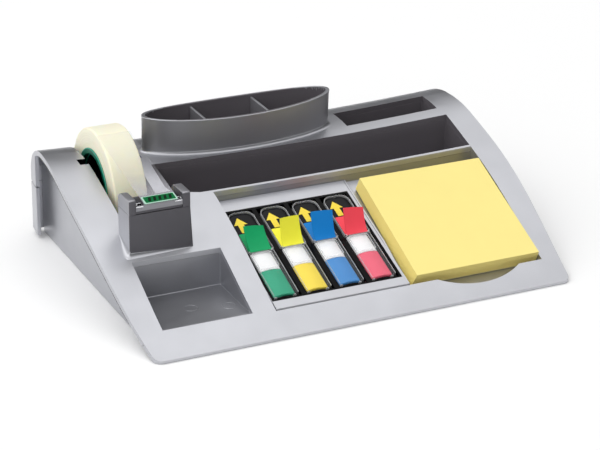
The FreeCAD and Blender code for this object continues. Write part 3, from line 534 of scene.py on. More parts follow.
def curved_copy(node, width, body):
    """Stands for a node: its edges are rounded, and its faces keep their smooth normals."""
    source = NODES[node].data
    corner = [tuple(n.vector) for n in source.corner_normals]
    loops = [list(p.loop_indices) for p in source.polygons]
    places = [v.co.copy() for v in source.vertices]
    polygons = [list(p.vertices) for p in source.polygons]
    tree = search_tree(node)
    copy = add_object(node + "_finish", source.copy())
    cover(copy.data, SLOTS[node], SLOTS[node])  # the second is for the rounded edges
    set_all(copy.data, "material_index", 0)
    sound = [p.area > SLIVER for p in source.polygons]

    def old_normal(spot, face):
        """The smooth normal that the node had at a spot of one of its faces."""
        best, fit = None, 0.0
        for hit, flat, index, _ in tree.find_nearest_range(spot, NEAR):
            if not sound[index] or (face.area > SLIVER
                                    and flat.dot(face.normal) < SAME_WAY):
                continue
            weights = poly_3d_calc([places[v] for v in polygons[index]], hit)
            weights = [min(1.0, max(0.0, w)) for w in weights]
            normal = Vector()
            for weight, source_loop in zip(weights, loops[index]):
                normal += Vector(corner[source_loop]) * weight
            normal.normalize()
            closeness = 1 - (hit - spot).length / NEAR + normal.dot(face.normal)
            if best is None or closeness > fit:
                best, fit = normal, closeness
        return best or face.normal.copy()

    rounding(copy, width, index=1)
    bpy.context.view_layer.update()
    graph = bpy.context.evaluated_depsgraph_get()
    mesh = bpy.data.meshes.new_from_object(copy.evaluated_get(graph))
    copy.modifiers.clear()
    copy.data = mesh
    set_all(mesh, "use_smooth", True)
    normals = [None] * len(mesh.loops)
    at_vertex = {}
    for face in [p for p in mesh.polygons if p.material_index == 0]:
        for loop in face.loop_indices:
            vertex = mesh.loops[loop].vertex_index
            spot = mesh.vertices[vertex].co.lerp(face.center, INWARDS)
            normals[loop] = old_normal(spot, face)
            at_vertex.setdefault(vertex, []).append(normals[loop])
    for face in [p for p in mesh.polygons if p.material_index == 1]:
        for loop in face.loop_indices:
            vertex = mesh.loops[loop].vertex_index
            known = at_vertex.get(vertex) or [mesh.vertex_normals[vertex].vector.copy()]
            normals[loop] = max(known, key=lambda n: n.dot(face.normal))
    set_all(mesh, "material_index", 0)
    mesh.materials.pop(index=1)
    mesh.normals_split_custom_set(normals)
    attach(copy, body)
    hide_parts(node)
    return copy


ROUNDING = {  # width of the rounded edges in millimetres, and where
    0.08: "cutter_blade", 0.1: "blade_backing", 0.15: "note_backing", 0.25: "lane_tray",
    0.3: "cup_divider_left cup_divider_right rubber_feet drawer_rail_left drawer_rail_right "
         "hub_axle",
    0.4: "insert_frame drawer_tray clip_tray pen_trough note_bay flag_bay rear_compartment "
         "base_plate",
    0.5: "left_side right_side"}
WIDTHS = {node: width for width, nodes in ROUNDING.items() for node in nodes.split()}
for node_name in NODES:
    dress(node_name, WIDTHS.get(node_name, 0.0) * MM)
shell = curved_copy("top_shell", 0.6 * MM, "organizer")
cup = curved_copy("pencil_cup", 0.8 * MM, "organizer")
curved_copy("drawer_face", 0.5 * MM, "drawer")
SHELL_TREE, CUP_TREE = search_tree("top_shell"), search_tree("pencil_cup")

# the cup, the axle's slot in the shell and the shell's openings, in millimetres
CUP_MIDDLE, CUP_INSIDE_TOP, CUP_RIM = Vector((-14.0, 53.35, 0.0)), 74.5, 74.9
NOTCH_LEFT, NOTCH_RIGHT, NOTCH_BACK = -117.0, -96.0, 51.5
POCKETS = [[Vector(corner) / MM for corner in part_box(node)]
           for node in ("pen_trough", "rear_compartment")]
POCKET_MARGIN, NOTCH_MARGIN = 0.6, 0.6
TROUGH_FRONT = 8.2


def inside_cup(middle, normal):
    out = Vector(((middle.x - CUP_MIDDLE.x) / 4.0, middle.y - CUP_MIDDLE.y, 0.0))
    flat = Vector((normal.x, normal.y, 0.0))
    return middle.z < CUP_INSIDE_TOP and (normal.z > 0.8 or flat.dot(out) < -0.2 * out.length)


def notch_wall(middle, normal):
    return (NOTCH_LEFT < middle.x < NOTCH_RIGHT and abs(middle.y - NOTCH_BACK) < NOTCH_MARGIN
            and normal.y < -0.8)


def pocket_wall(middle, normal):
    """True for the shell's cut edges that face into the pen trough or rear compartment."""
    for low, high in POCKETS:
        beside = max(low.x - middle.x, middle.x - high.x, low.y - middle.y, middle.y - high.y)
        inwards = ((low + high) / 2 - middle).dot(Vector((normal.x, normal.y, 0.0))) > 0
        if beside < POCKET_MARGIN and inwards and abs(normal.z) < 0.5:
            return True
    return False


# the faces that are chosen by (middle in mm, normal) get a second material, which paints shade
# in hollows and light on upward tops
for finished, painted_tone, chosen in (
        # black in the shell's axle notch and dark on its pocket walls: painted shade
        (shell, "black_plastic", notch_wall), (shell, "dark_plastic", pocket_wall),
        # dark inside the cup: painted shade
        (cup, "dark_plastic", inside_cup),
        # silver on the cup's rim and the dividers' tops: painted highlight
        (cup, "silver_plastic", lambda at, way: at.z > CUP_RIM and way.z > 0.2),
        (NODES["cup_divider_left"], "silver_plastic", lambda at, way: way.z > 0.5),
        (NODES["cup_divider_right"], "silver_plastic", lambda at, way: way.z > 0.5),
        # the pen trough's front face: the darker silver as painted shade
        (NODES["pen_trough"], "silver_shade",
         lambda at, way: way.y < -0.9 and at.y < TROUGH_FRONT)):
    finished.data.materials.append(MATERIALS[painted_tone])
    for face in finished.data.polygons:
        if chosen(face.center / MM, face.normal):
            face.material_index = len(finished.data.materials) - 1


ABOVE_ALL = 0.2


def shell_height(x, y, missed):
    """Height of the shell's top over a place, or what is said for a miss, in metres."""
    hit = SHELL_TREE.ray_cast(Vector((x, y, ABOVE_ALL)), Vector((0, 0, -1)))[0]
    return missed if hit is None else hit.z


# ------------ flag dispensers

INSERT = Incline(-74.15, 9.0, 19.3)
LANE_FIRST = -37.5
LANE_PITCH = 19.17
SLED_HALF = 7.75
SLED_START, BACK_START, RAIL_END, SLED_END = 7.9, 44.5, 67.0, 75.3
FLAGS_LEFT, FLAGS_RIGHT = -7.1, 5.3  # from the lane's middle
FLAGS_START, WHITE_START, SLOT_AT = 9.4, 28.8, 42.6
BED, STACK_LOW, STACK_TOP = -3.95, -2.4, 0.6
SKIN = 0.4
TAIL_END = 58.5
ARROW = ((-4.3, 59.2), (-0.9, 59.2), (-0.9, 65.6), (1.3, 65.6), (-2.6, 71.2), (-6.5, 65.6),
         (-4.3, 65.6))
TAB_ROWS, TAB_COLUMNS, TAB_THICK = 14, 6, 0.35
# each tab's free corners: (height, run) above the slot on its left and right side
TAB_TIPS = {"green": ((7.5, 13.0), (5.0, 13.6)), "yellow": ((12.2, 9.3), (10.2, 11.6)),
            "blue": ((11.2, 11.2), (11.5, 9.6)), "red": ((10.9, 10.1), (9.2, 10.0))}


def make_sled(colour, middle, body):
    """Black carrier: a floor with low rails, a raised back with a rounded end."""
    form = Form()
    plate(form, INSERT, arched_strip(SLED_HALF, SLED_START, SLED_END, middle),
          soft_levels(BED, STACK_LOW, 0.25))
    for side in (-1, 1):
        x0, x1 = sorted(middle + side * (SLED_HALF - d) for d in (0.1, 1.0))
        rail = rounded_box(x0, x1, STACK_LOW - 0.3, STACK_LOW + 1.1, 0.3, 2)
        bar(form, INSERT, rail, SLED_START + 0.4, RAIL_END, 0.3)
    plate(form, INSERT, arched_strip(SLED_HALF - 0.15, BACK_START, SLED_END - 0.15, middle),
          ((STACK_LOW - 0.2, 0.0), (-1.5, 0.0), (-0.9, 0.15), (-0.45, 0.6), (-0.15, 1.4),
           (0.0, 2.6), (0.05, 4.0)))
    notch = crowned(middle + FLAGS_LEFT + 1.9, middle + FLAGS_RIGHT - 1.9, STACK_LOW - 0.3,
                    STACK_LOW + 2.1, 0.5, 0.5)
    bar(form, INSERT, notch, SLED_START + 0.1, FLAGS_START - 0.6, 0.15)
    form.build(f"sled_{colour}_black", "sled_gloss", body, (f"sled_{colour}",))


def make_stack(colour, middle, body):
    """The flags' coloured ends under the film, then their white ends."""
    left, right = middle + FLAGS_LEFT, middle + FLAGS_RIGHT
    section = crowned(left, right, STACK_LOW, STACK_TOP, 0.9, 0.9)
    bar(Form(), INSERT, section, FLAGS_START, WHITE_START, 0.7).build(
        f"flags_{colour}_ends", f"flag_{colour}", body, (f"flags_{colour}",))
    section = crowned(left + 0.1, right - 0.1, STACK_LOW, STACK_TOP - 0.05, 0.7, 0.9)
    bar(Form(), INSERT, section, WHITE_START, SLOT_AT, 0.12).build(
        f"flags_{colour}_white", "flag_white", body, (f"flag_ends_{colour}",))


def make_cover(colour, middle, body):
    """Clear sleeve over the flags, a lip at its slot and a low hood over the back. The lip,
    the window's edge, the folds, the feet and the hood are a paler clear, as painted
    highlights.
    """
    left, right = middle + FLAGS_LEFT - 0.4, middle + SLED_HALF - 0.9
    low, top = STACK_LOW, STACK_TOP
    form = Form()
    outside = crowned(left, right, low, top + 0.62, 0.8, 0.9)
    inside = shrunk(outside, SKIN)
    start, end = FLAGS_START - 0.55, SLOT_AT + 0.5
    rings = [INSERT.cut(shrunk(outside, by), start + d)
             for d, by in ((0.0, 0.4), (0.12, 0.12), (0.4, 0.0))]
    form.loft(rings + [INSERT.cut(outside, end), INSERT.cut(inside, end),
                       INSERT.cut(inside, start + SKIN)])
    lip = rounded_box(left + 0.3, right - 0.3, top + 0.1, top + 1.0, 0.4, 3)
    bar(form, INSERT, lip, SLOT_AT - 0.3, SLOT_AT + 0.9, 0.2, 1)
    window = rounded_box(left + 0.5, right - 2.0, WHITE_START + 0.3, SLOT_AT - 0.6, 1.6)
    plate(form, INSERT, window, ((top + 0.5, 0.0), (top + 0.75, 0.1),
                                 (top + 0.75, 0.4), (top + 0.5, 0.5)), 1, True)
    for x in (left + 0.06, right - 0.29):  # folds along the sides, paler as a painted highlight
        fold = rounded_box(x, x + 0.28, top - 0.35, top + 0.3, 0.13, 2)
        bar(form, INSERT, fold, start + 0.2, end - 0.4, 0.1, 1)
    for x in (left + 0.2, middle + FLAGS_RIGHT - 1.6):  # pale feet beside the notch at the front, painted glints
        foot = rounded_box(x, x + 1.6, low, low + 2.5, 0.35, 2)
        bar(form, INSERT, foot, SLED_START + 0.35, start - 0.05, 0.12, 1)
    hood = arched_strip(SLED_HALF - 0.1, SLOT_AT + 1.2, SLED_END, middle)
    plate(form, INSERT, hood, ((-1.6, 0.0), (0.35, 0.0), (0.5, 0.12), (0.5, 0.33),
                               (0.35, 0.45), (-1.6, 0.45)), 1, True)
    form.build(f"cover_{colour}_clear", ("clear_plastic", "clear_rim"), body,
               (f"cover_{colour}",))


def make_tail(colour, middle, body):
    """The next flag lying behind the slot, and a plain printed arrow behind it."""
    left, right = middle + FLAGS_LEFT + 0.2, middle + FLAGS_RIGHT
    plate(Form(), INSERT, rounded_box(left, right, SLOT_AT + 0.9, TAIL_END, 0.6),
          soft_levels(0.06, 0.2, 0.04)).build(
        f"flag_tail_{colour}", f"tab_film_{colour}", body)
    plate(Form(), INSERT, [(middle + x, along) for x, along in ARROW],
          ((0.06, 0.0), (0.15, 0.0), (0.18, 0.05))).build(
        f"flag_print_{colour}", "flag_yellow", body)


def make_tab(colour, middle, body):
    """The flag that stands ready, bent up out of the slot."""
    (left_high, left_run), (right_high, right_run) = TAB_TIPS[colour]
    left, right = middle + FLAGS_LEFT + 0.2, middle + FLAGS_RIGHT + 0.1
    rows = []
    for s in shares(TAB_ROWS):
        row = []
        for t in shares(TAB_COLUMNS):
            high, run = mix(left_high, right_high, t), mix(left_run, right_run, t)
            up = 2 * s * (1 - s) * 0.1 * high + s * s * high
            along = 2 * s * (1 - s) * 0.42 * run + s * s * run
            sway = 0.25 * sin(pi * t) * s
            row.append(INSERT.at(mix(left, right, t), SLOT_AT - 0.2 + along,
                                 STACK_TOP + 0.95 + up + sway))
        rows.append(row)
    Form().sheet(rows, TAB_THICK * MM).build(
        f"flag_tab_{colour}_bent", f"tab_film_{colour}", body, (f"flag_tab_{colour}",))


for lane, lane_colour in enumerate(COLOURS):
    lane_middle = LANE_FIRST + LANE_PITCH * lane
    lane_body = "dispenser_" + lane_colour
    for maker in (make_sled, make_stack, make_cover, make_tail, make_tab):
        maker(lane_colour, lane_middle, lane_body)


# ------------ note pad

NOTE = Incline(-71.85, 11.8, 23.2)
PAD_LEFT, PAD_RIGHT, PAD_DEEP, PAD_THICK = 36.4, 112.4, 76.0, 8.2
LEAVES, PAD_FLARE, PAD_EDGE = 41, 1.8, 0.15


def make_pad():
    """A block of leaves, each a hair out of line, the lower ones fanned to the left."""
    chance = random.Random(7)
    form = Form()
    leaf = PAD_THICK / LEAVES
    for k in range(LEAVES):
        deep = 1 - (k + 0.5) / LEAVES  # 0 at the top leaf, 1 at the lowest
        low = -PAD_THICK + k * leaf
        slip_x = chance.uniform(-0.08, 0.08)
        slip_y = chance.uniform(-0.08, 0.08)
        fan = PAD_FLARE * deep ** 1.3
        left, right = PAD_LEFT + PAD_EDGE + slip_x, PAD_RIGHT - PAD_EDGE + slip_x
        near, far = left - fan, left - 0.4 * fan
        front, back = PAD_EDGE + slip_y, PAD_DEEP - PAD_EDGE + slip_y
        corners = [(near, front), (right, front), (right, back), (far, back)]
        form.loft([NOTE.layer(corners, low + leaf * share) for share in (0.07, 0.93)])
    form.build("note_pad_leaves", "note_paper", "note_pad", ("note_pad",))


make_pad()


# ------------ tape

AXIS_Y, AXIS_Z = 48.45, 39.5
TAPE_X = -92.0
ROLL_RADIUS, CORE_RADIUS, CORE_INNER = 33.5, 22.35, 19.2
ROLL_HALF, CORE_HALF = 9.5, 9.8
HUB_FACE = -7.2  # the hub stands back in the core


TURN_STEPS = 96


def spun(form, profile, tone=0):
    """Turns a profile of (x from the tape's middle, radius) about the tape's axis."""
    form.loft([[at_mm(TAPE_X + x, AXIS_Y + r * cos(a), AXIS_Z + r * sin(a))
                for x, r in profile] for a in full_turn(TURN_STEPS)], tone, loop=True)


def make_roll():
    """Wound tape: soft shoulders and ends whose turns don't quite line up."""
    chance = random.Random(3)
    turns, soft = 24, 1.1
    radii = [mix(CORE_RADIUS, ROLL_RADIUS - soft, k / turns) for k in range(turns + 1)]
    wander = [0.12 * sin(k * 1.7) + chance.uniform(-0.05, 0.05) for k in range(turns + 1)]
    end = ROLL_HALF - 0.15
    shoulder = []
    for k in range(1, 6):
        a = radians(15 * k)
        shoulder.append((soft * (1 - cos(a)), ROLL_RADIUS - soft + soft * sin(a)))
    profile = [(-end + 0.3 * w, r) for r, w in zip(radii, wander)]
    profile += [(-end + x, r) for x, r in shoulder]
    profile += [(mix(soft - end, end - soft, t), ROLL_RADIUS) for t in shares(6)]
    profile += [(end - x, r) for x, r in reversed(shoulder)]
    profile += [(end + 0.3 * w, r) for r, w in zip(radii[::-1], wander[::-1])]
    form = Form()
    spun(form, profile)
    form.build("tape_roll_wound", "tape", "tape", ("tape_roll",), smooth=50)


def make_core():
    """The card core, its green edge, and the bright lines round the edge and the hub, which
    are painted highlights.
    """
    half, inner, outer, hub = CORE_HALF, CORE_INNER, CORE_RADIUS, HUB_FACE
    form = Form()
    spun(form, [(-half, inner + 0.3), (-half, outer - 0.25), (-half + 0.25, outer),
                (half - 0.25, outer), (half, outer - 0.25), (half, inner + 0.3),
                (half - 0.3, inner), (-half + 0.3, inner)])
    form.build("tape_core_card", "core_card", "tape", ("tape_core",))
    form = Form()
    spun(form, [(-half - 0.12, inner + 0.2), (-half - 0.12, outer - 0.3),
                (-half + 0.1, outer - 0.1), (-half + 0.1, inner + 0.05)])
    spun(form, [(hub - 0.35, inner - 0.55), (hub - 0.35, inner + 0.05),
                (hub + 0.1, inner + 0.05), (hub + 0.1, inner - 0.55)], 1)
    spun(form, [(-half - 0.2, outer - 0.55), (-half - 0.2, outer - 0.05),
                (-half + 0.1, outer + 0.1), (-half + 0.1, outer - 0.6)], 1)
    form.build("tape_core_edge", ("core_edge", "core_line"), "tape")


def make_hub():
    """Black wheel in the core: rim, plain web, boss and ribs."""
    form = Form()
    bore, boss, web, rim = 3.1, 6.0, 1.5, 16.85
    end, inner, face = CORE_HALF, CORE_INNER, HUB_FACE
    spun(form, [(-web, boss + 0.4), (-web, rim), (face + 0.4, rim), (face, rim + 0.4),
                (face, inner - 0.35), (face + 0.3, inner - 0.1), (end - 0.9, inner - 0.1),
                (end - 0.6, inner - 0.35), (end - 0.6, rim + 0.4), (end - 1.0, rim),
                (web, rim), (web, boss + 0.4), (end - 0.8, boss), (end - 0.4, boss - 0.4),
                (end - 0.4, bore), (-end + 0.4, bore), (-end + 0.4, boss - 0.4),
                (-end + 0.8, boss)])
    for k in range(6):
        a = radians(60 * k + 15)
        out = Vector((0, cos(a), sin(a)))
        side = Vector((0, -sin(a), cos(a)))
        centre = Vector((TAPE_X, AXIS_Y, AXIS_Z))
        for way in (-1, 1):
            rings = []
            for r, half in ((boss - 0.3, 0.7), (rim + 0.2, 0.6)):
                low, high = way * (web - 0.1), way * (end - 4.2)
                rings.append([(centre + out * r + side * s * half + Vector((x, 0, 0))) * MM
                              for x, s in ((low, -1), (low, 1), (high, 0.8), (high, -0.8))])
            form.loft(rings)
    form.build("tape_hub_wheel", "black_plastic", "tape", ("tape_hub",))


BLADE_Y, BLADE_TOP = -27.05, 59.3
FILM_ROWS, FILM_COLUMNS = 24, 8
FILM_START, FILM_DIP, FILM_ABOVE, FILM_THICK = -0.5, 0.35, 0.13, 0.14
STARTER_TABS = (
    ("starter_tab_border", "tab_pale", 0.2, 0.38, -9.2, 9.2, -0.5, 6.1, ()),
    ("starter_tab_face", "tab_green", 0.38, 0.46, -8.3, 8.5, 0.2, 5.6, ("starter_tab",)))


def film_slope():
    """The film's slope, with its start on top of the blade, and its length to the roll."""
    reach, rise, radius = AXIS_Y - BLADE_Y, BLADE_TOP - AXIS_Z, ROLL_RADIUS + 0.3
    far = hypot(reach, rise)
    lean = asin(radius / far) - atan2(rise, reach)
    return Incline(BLADE_Y, BLADE_TOP, degrees(lean)), sqrt(far * far - radius ** 2)


def make_film():
    """The loose end from the roll to the blade, a little hollow across, and its tab."""
    slope, length = film_slope()
    rows = []
    for s in shares(FILM_ROWS):
        d = mix(FILM_START, length + FILM_START, s)
        dip = -FILM_DIP * sin(pi * s)
        rows.append([slope.at(TAPE_X + mix(-ROLL_HALF, ROLL_HALF, t), d,
                              FILM_ABOVE + dip * (1 - (2 * t - 1) ** 2))
                     for t in shares(FILM_COLUMNS)])
    Form().sheet(rows, FILM_THICK * MM).build("tape_film_end", "film",
                                              replaces=("tape_film",))
    for name, slot_name, low, high, x0, x1, d0, d1, replaced in STARTER_TABS:
        plate(Form(), slope, rounded_box(TAPE_X + x0, TAPE_X + x1, d0, d1, 0.5, 3),
              ((low, 0.0), (high, 0.0))).build(name, slot_name, replaces=replaced)
    form = Form()
    for k in range(5):  # a plain hatch stands in for the print
        x = TAPE_X - 6.6 + 2.9 * k
        strip = [(x, 1.1), (x + 1.5, 1.1), (x + 2.4, 4.7), (x + 0.9, 4.7)]
        form.loft([slope.layer(strip, rise) for rise in (0.46, 0.5)])
    form.build("starter_tab_hatch", "tab_dark")


make_roll()
make_core()
make_hub()
make_film()


# ------------ cutter

CUT_LEFT, CUT_RIGHT, CUT_FRONT, CUT_BACK = -110.0, -76.0, -27.05, -11.05
CUT_TOP, EAR, EAR_LOW, ANVIL = 62.3, 4.0, 53.7, 57.2
EAR_BACK, EAR_FRONT = 5.0, 1.0  # radii of the ears' top corners
CUT_SPREAD, SPREAD_LOW = 2.0, 30.0
CUT_LEVELS = (25.0, 30.0, 36.0, 42.0, 48.0, 53.9)
TEETH, TEETH_LOW, TEETH_ROOT, TEETH_TIP = 20, 55.75, 58.55, 59.15
# inwards from the ear, back from the blade, heights over the anvil and material of each
# clip and pad; the black pads are painted shadow in the gaps at the blade's ends
CLIPS = ((0.1, 4.2, -0.06, 0.3, 0.6, 1.25, 0), (0.1, 3.6, 2.2, 2.9, -0.5, 2.2, 0),
         (0.2, 1.0, 0.7, 2.0, -0.5, 2.3, 0), (1.2, 3.9, 0.7, 2.1, -0.5, 1.6, 1),
         (0.1, 3.0, 3.4, 5.2, -0.5, 1.4, 1))


def make_blade(left, right):
    """A steel strip with teeth, and the clips and the black pads at its ends, which paint the
    shadow in the gaps there.
    """
    outline = [(left, TEETH_LOW), (right, TEETH_LOW), (right, TEETH_ROOT)]
    for k in range(TEETH):
        outline += [(mix(right, left, (k + 0.5) / TEETH), TEETH_TIP),
                    (mix(right, left, (k + 1) / TEETH), TEETH_ROOT)]
    strip = [[at_mm(x, y, z) for x, z in outline] for y in (BLADE_Y, BLADE_Y + 0.6)]
    Form().loft(strip).build("cutter_blade_teeth", "blade_steel", replaces=("cutter_blade",),
                             smooth=20)
    form = Form()
    for x, inward in ((left, 1), (right, -1)):
        for d0, d1, y0, y1, low, high, tone in CLIPS:
            x0, x1 = sorted((x + inward * d0, x + inward * d1))
            z0, z1 = ANVIL + low, ANVIL + high
            plate(form, LEVEL, rounded_box(x0, x1, BLADE_Y + y0, BLADE_Y + y1, 0.25, 2),
                  ((z0, 0.12), (z0 + 0.12, 0.0), (z1 - 0.12, 0.0), (z1, 0.12)), tone)
    form.build("cutter_blade_clips", ("clip_steel", "black_plastic"))


def make_cutter():
    """A post with two ears, the anvil behind the blade and a smooth front. Its outer
    flanks and the ears' tops are painted lighter as painted light, the other faces charcoal as
    painted shade."""
    form = Form()

    def side_line(z):
        """x of the right side at a height: it spreads towards the shell."""
        t = (CUT_TOP - z) / (CUT_TOP - SPREAD_LOW)
        return CUT_RIGHT + CUT_SPREAD * min(1.0, max(0.0, t))

    form.loft([LEVEL.layer(rounded_box(CUT_LEFT, side_line(z), CUT_FRONT, CUT_BACK, 0.6, 3), z)
               for z in CUT_LEVELS])
    inner_left, inner_right = CUT_LEFT + EAR, CUT_RIGHT - EAR
    block = rounded_box(inner_left - 0.3, inner_right + 0.3, CUT_FRONT + 1.6, CUT_BACK, 0.4, 2)
    plate(form, LEVEL, block, ((EAR_LOW, 0), (ANVIL - 0.4, 0), (ANVIL - 0.1, 0.12),
                               (ANVIL, 0.4)))
    for left, right in ((CUT_LEFT, inner_left), (inner_right, side_line(54.0))):
        outline = [(CUT_FRONT, EAR_LOW), (CUT_BACK, EAR_LOW)]
        outline += quarter(CUT_BACK - EAR_BACK, CUT_TOP - EAR_BACK, EAR_BACK, 0, 6)
        outline += quarter(CUT_FRONT + EAR_FRONT, CUT_TOP - EAR_FRONT, EAR_FRONT, 90, 6)
        form.loft([[at_mm(x, y, z) for y, z in shrunk(outline, by)]
                   for x, by in ((left, 0.45), (left + 0.13, 0.13), (left + 0.45, 0.0),
                                 (right - 0.45, 0.0), (right - 0.13, 0.13), (right, 0.45))])
    # outer flanks and upward tops get the lighter material as painted light, the rest charcoal
    # as painted shade
    for k, face in enumerate(form.faces):
        corners = [Vector(form.points[i]) for i in face]
        middle = sum(corners, Vector()) / len(face) / MM
        normal = (corners[1] - corners[0]).cross(corners[2] - corners[1]).normalized()
        outer = middle.x < CUT_LEFT + 0.3 or middle.x > CUT_RIGHT - 0.1
        flank = abs(normal.x) > 0.75 and outer
        top = abs(normal.z) > 0.3 and middle.z > ANVIL + 2.0
        form.inks[k] = int(flank or top)
    form.build("cutter_post_moulded", ("charcoal_plastic", "cutter_flank"),
               replaces=("cutter_post",))
    make_blade(inner_left, inner_right)


make_cutter()


# ------------ fillets

BURIED, FOOT_DEPTH, PROUD = 0.4 * MM, 0.6 * MM, 0.02 * MM
SHELL_LEVEL = 50 * MM  # taken where a ray misses the shell


def fillet(name, wall_points, radius, steps=6):
    """A hollow fillet from a wall down to the shell. Each wall point comes as
    (x, y, outward x, outward y, share of the radius), in metres. It closes on itself."""
    rings = []
    for t in shares(steps):
        a = radians(90 * t)
        d, rise = radius * (1 - cos(a)), radius * (1 - sin(a))
        ring, level = [], SHELL_LEVEL
        for x, y, nx, ny, share in wall_points:
            px, py = x + nx * d * share, y + ny * d * share
            level = shell_height(px, py, level)
            ring.append(Vector((px, py, level + rise * share + PROUD)))
        rings.append(ring)
    sunk = [Vector((p.x, p.y, p.z - BURIED)) for p in rings[-1]]
    inside = [(p.x - BURIED * w[2], p.y - BURIED * w[3])
              for p, w in zip(rings[0], wall_points)]
    foot = [Vector((*spot, p.z - FOOT_DEPTH)) for spot, p in zip(inside, sunk)]
    crown = [Vector((*spot, p.z)) for spot, p in zip(inside, rings[0])]
    Form().loft(list(zip(crown, *rings, sunk, foot)), loop=True).build(
        name, "silver_plastic", smooth=60)


GAP_FRONT, GAP_BACK, GAP_STEPS = -78.0, 68.0, 80
GAP_DROP, GAP_TAPER = 1.2 * MM, 12  # the painted shadow strip grows to its full height over the taper
GAP_SEARCH = 600  # rays down from 60 mm, a tenth apart
GAP_AVERAGE = 3


def edge_shadow_strip(side, name):
    """Black strip under the shell's overhanging edge, along one side of the organizer: painted
    shadow in the gap there.
    """
    found = []
    for t in shares(GAP_STEPS):
        y = mix(GAP_FRONT, GAP_BACK, t) * MM
        hits = []
        for step in range(GAP_SEARCH):
            z = (60.0 - 0.1 * step) * MM
            start, inwards = Vector((side * 0.2, y, z)), Vector((-side, 0, 0))
            hit = SHELL_TREE.ray_cast(start, inwards, 0.084)[0]
            if hit is not None:
                hits.append((z, abs(hit.x)))
        reach = max(x for _, x in hits)
        found.append((y, reach, min(z for z, x in hits if x > reach - 0.5 * MM)))
    sections = []
    for k, (y, _, _) in enumerate(found):
        near = found[max(0, k - GAP_AVERAGE):k + GAP_AVERAGE + 1]
        outer = sum(entry[1] for entry in near) / len(near) - 0.25 * MM
        low = sum(entry[2] for entry in near) / len(near)
        foot, top = low - GAP_DROP * min(1.0, k / GAP_TAPER) + 0.1 * MM, low + 0.4 * MM
        inner = outer - 0.7 * MM
        corners = ((outer, foot), (outer, top), (inner, top), (inner, foot))
        sections.append([Vector((side * x, y, max(0.4 * MM, z))) for x, z in corners])
    Form().loft(sections).build(name, "black_plastic")


def round_cup(count, deep):
    """Places on an ellipse of that half depth inside the cup's wall, and their outward
    directions."""
    for a in full_turn(count):
        x, y = CUP_HALF_WIDE * cos(a), deep * sin(a)
        out = Vector((cos(a) / CUP_HALF_WIDE, sin(a) / deep, 0)).normalized()
        yield CUP_MIDDLE * MM + Vector((x, y, 0)), out


CUP_HALF_WIDE, CUP_FOOT_DEEP, CUP_RIM_DEEP = 57 * MM, 12 * MM, 15.8 * MM
RIM_STEP, RIM_RADIUS = 0.1 * MM, 0.4 * MM


def cup_foot(count=96):
    """Places on the cup's wall where it meets the shell."""
    places = []
    for start, out in round_cup(count, CUP_FOOT_DEEP):
        beside = start + out * MM
        start.z = shell_height(beside.x, beside.y, 55 * MM) + 2 * MM
        hit = CUP_TREE.ray_cast(start + out * 0.02, -out)[0]
        places.append((*(hit or start).xy, *out.xy, 1.0))
    return places


def cup_rim(count=180):
    """Fine bead along the outer edge of the cup's rim, which dips at the front; its silver on
    the grey cup is a painted highlight.
    """
    up = Vector((0, 0, 1))
    sections = []
    for start, out in round_cup(count, CUP_RIM_DEEP):
        level, edge = 75.6 * MM, None
        while edge is None and level > 50 * MM:  # down to the first touch of the rim
            level -= RIM_STEP
            edge = CUP_TREE.ray_cast(start + out * 0.01 + up * level, -out, 0.016)[0]
        core = edge - out * RIM_RADIUS / 2 - up * RIM_RADIUS * 0.6
        sections.append([core + (out * cos(a) + up * sin(a)) * RIM_RADIUS
                         for a in full_turn(8)])
    Form().loft(sections, loop=True).build("cup_rim_highlight_bead", "silver_plastic", smooth=60)


def cutter_foot():
    """Round the cutter's foot: a wide sweep at the left front corner that narrows along the
    left side and the front, and hardly any behind."""
    x0, x1 = (CUT_LEFT + 0.05) * MM, (CUT_RIGHT + 1.7) * MM
    y0, y1 = (CUT_FRONT + 0.05) * MM, (CUT_BACK - 0.4) * MM
    places = [(x0, mix(y1, y0, t), -1.0, 0.0, 0.1 + 0.9 * t * t * (3 - 2 * t))
              for t in shares(12)]
    places += [(x0 + 0.1 * MM, y0, -0.7, -0.7, 0.9), (x0 + 0.6 * MM, y0, -0.2, -1.0, 0.75)]
    places += [(mix(x0, x1, k / 12), y0, 0.0, -1.0, min(0.7, 0.06 * (13 - k)))
               for k in range(1, 13)]
    places += [(x1, mix(y0, y1, t), 1.0, 0.0, 0.12) for t in shares(4)[1:]]
    places += [(mix(x1, x0, t), y1, 0.0, 1.0, 0.02) for t in shares(6)[1:-1]]
    return places


CLIP_FLOOR = 7.5
PIN_MARKS = ((-85.9, -51.5), (-66.6, -56.7))


def tray_marks():
    """Faint round marks that the mould's pins left on the clip tray's floor, in the tray's
    darker silver (painted shade).
    """
    form = Form()
    for cx, cy in PIN_MARKS:
        form.loft([[at_mm(cx + r * cos(a), cy + r * sin(a), CLIP_FLOOR + up)
                    for a in full_turn(40)]
                   for r, up in ((3.4, -0.05), (3.5, 0.08), (3.75, 0.08), (3.85, -0.05))],
                  loop=True)
    form.build("clip_tray_marks", "silver_shade")


cup_rim()
fillet("cup_foot_fillet", cup_foot(), 1.8 * MM)
fillet("cutter_foot_fillet", cutter_foot(), 3.0 * MM)
edge_shadow_strip(-1, "shell_edge_shadow_left")
edge_shadow_strip(1, "shell_edge_shadow_right")
tray_marks()


# ------------ studio

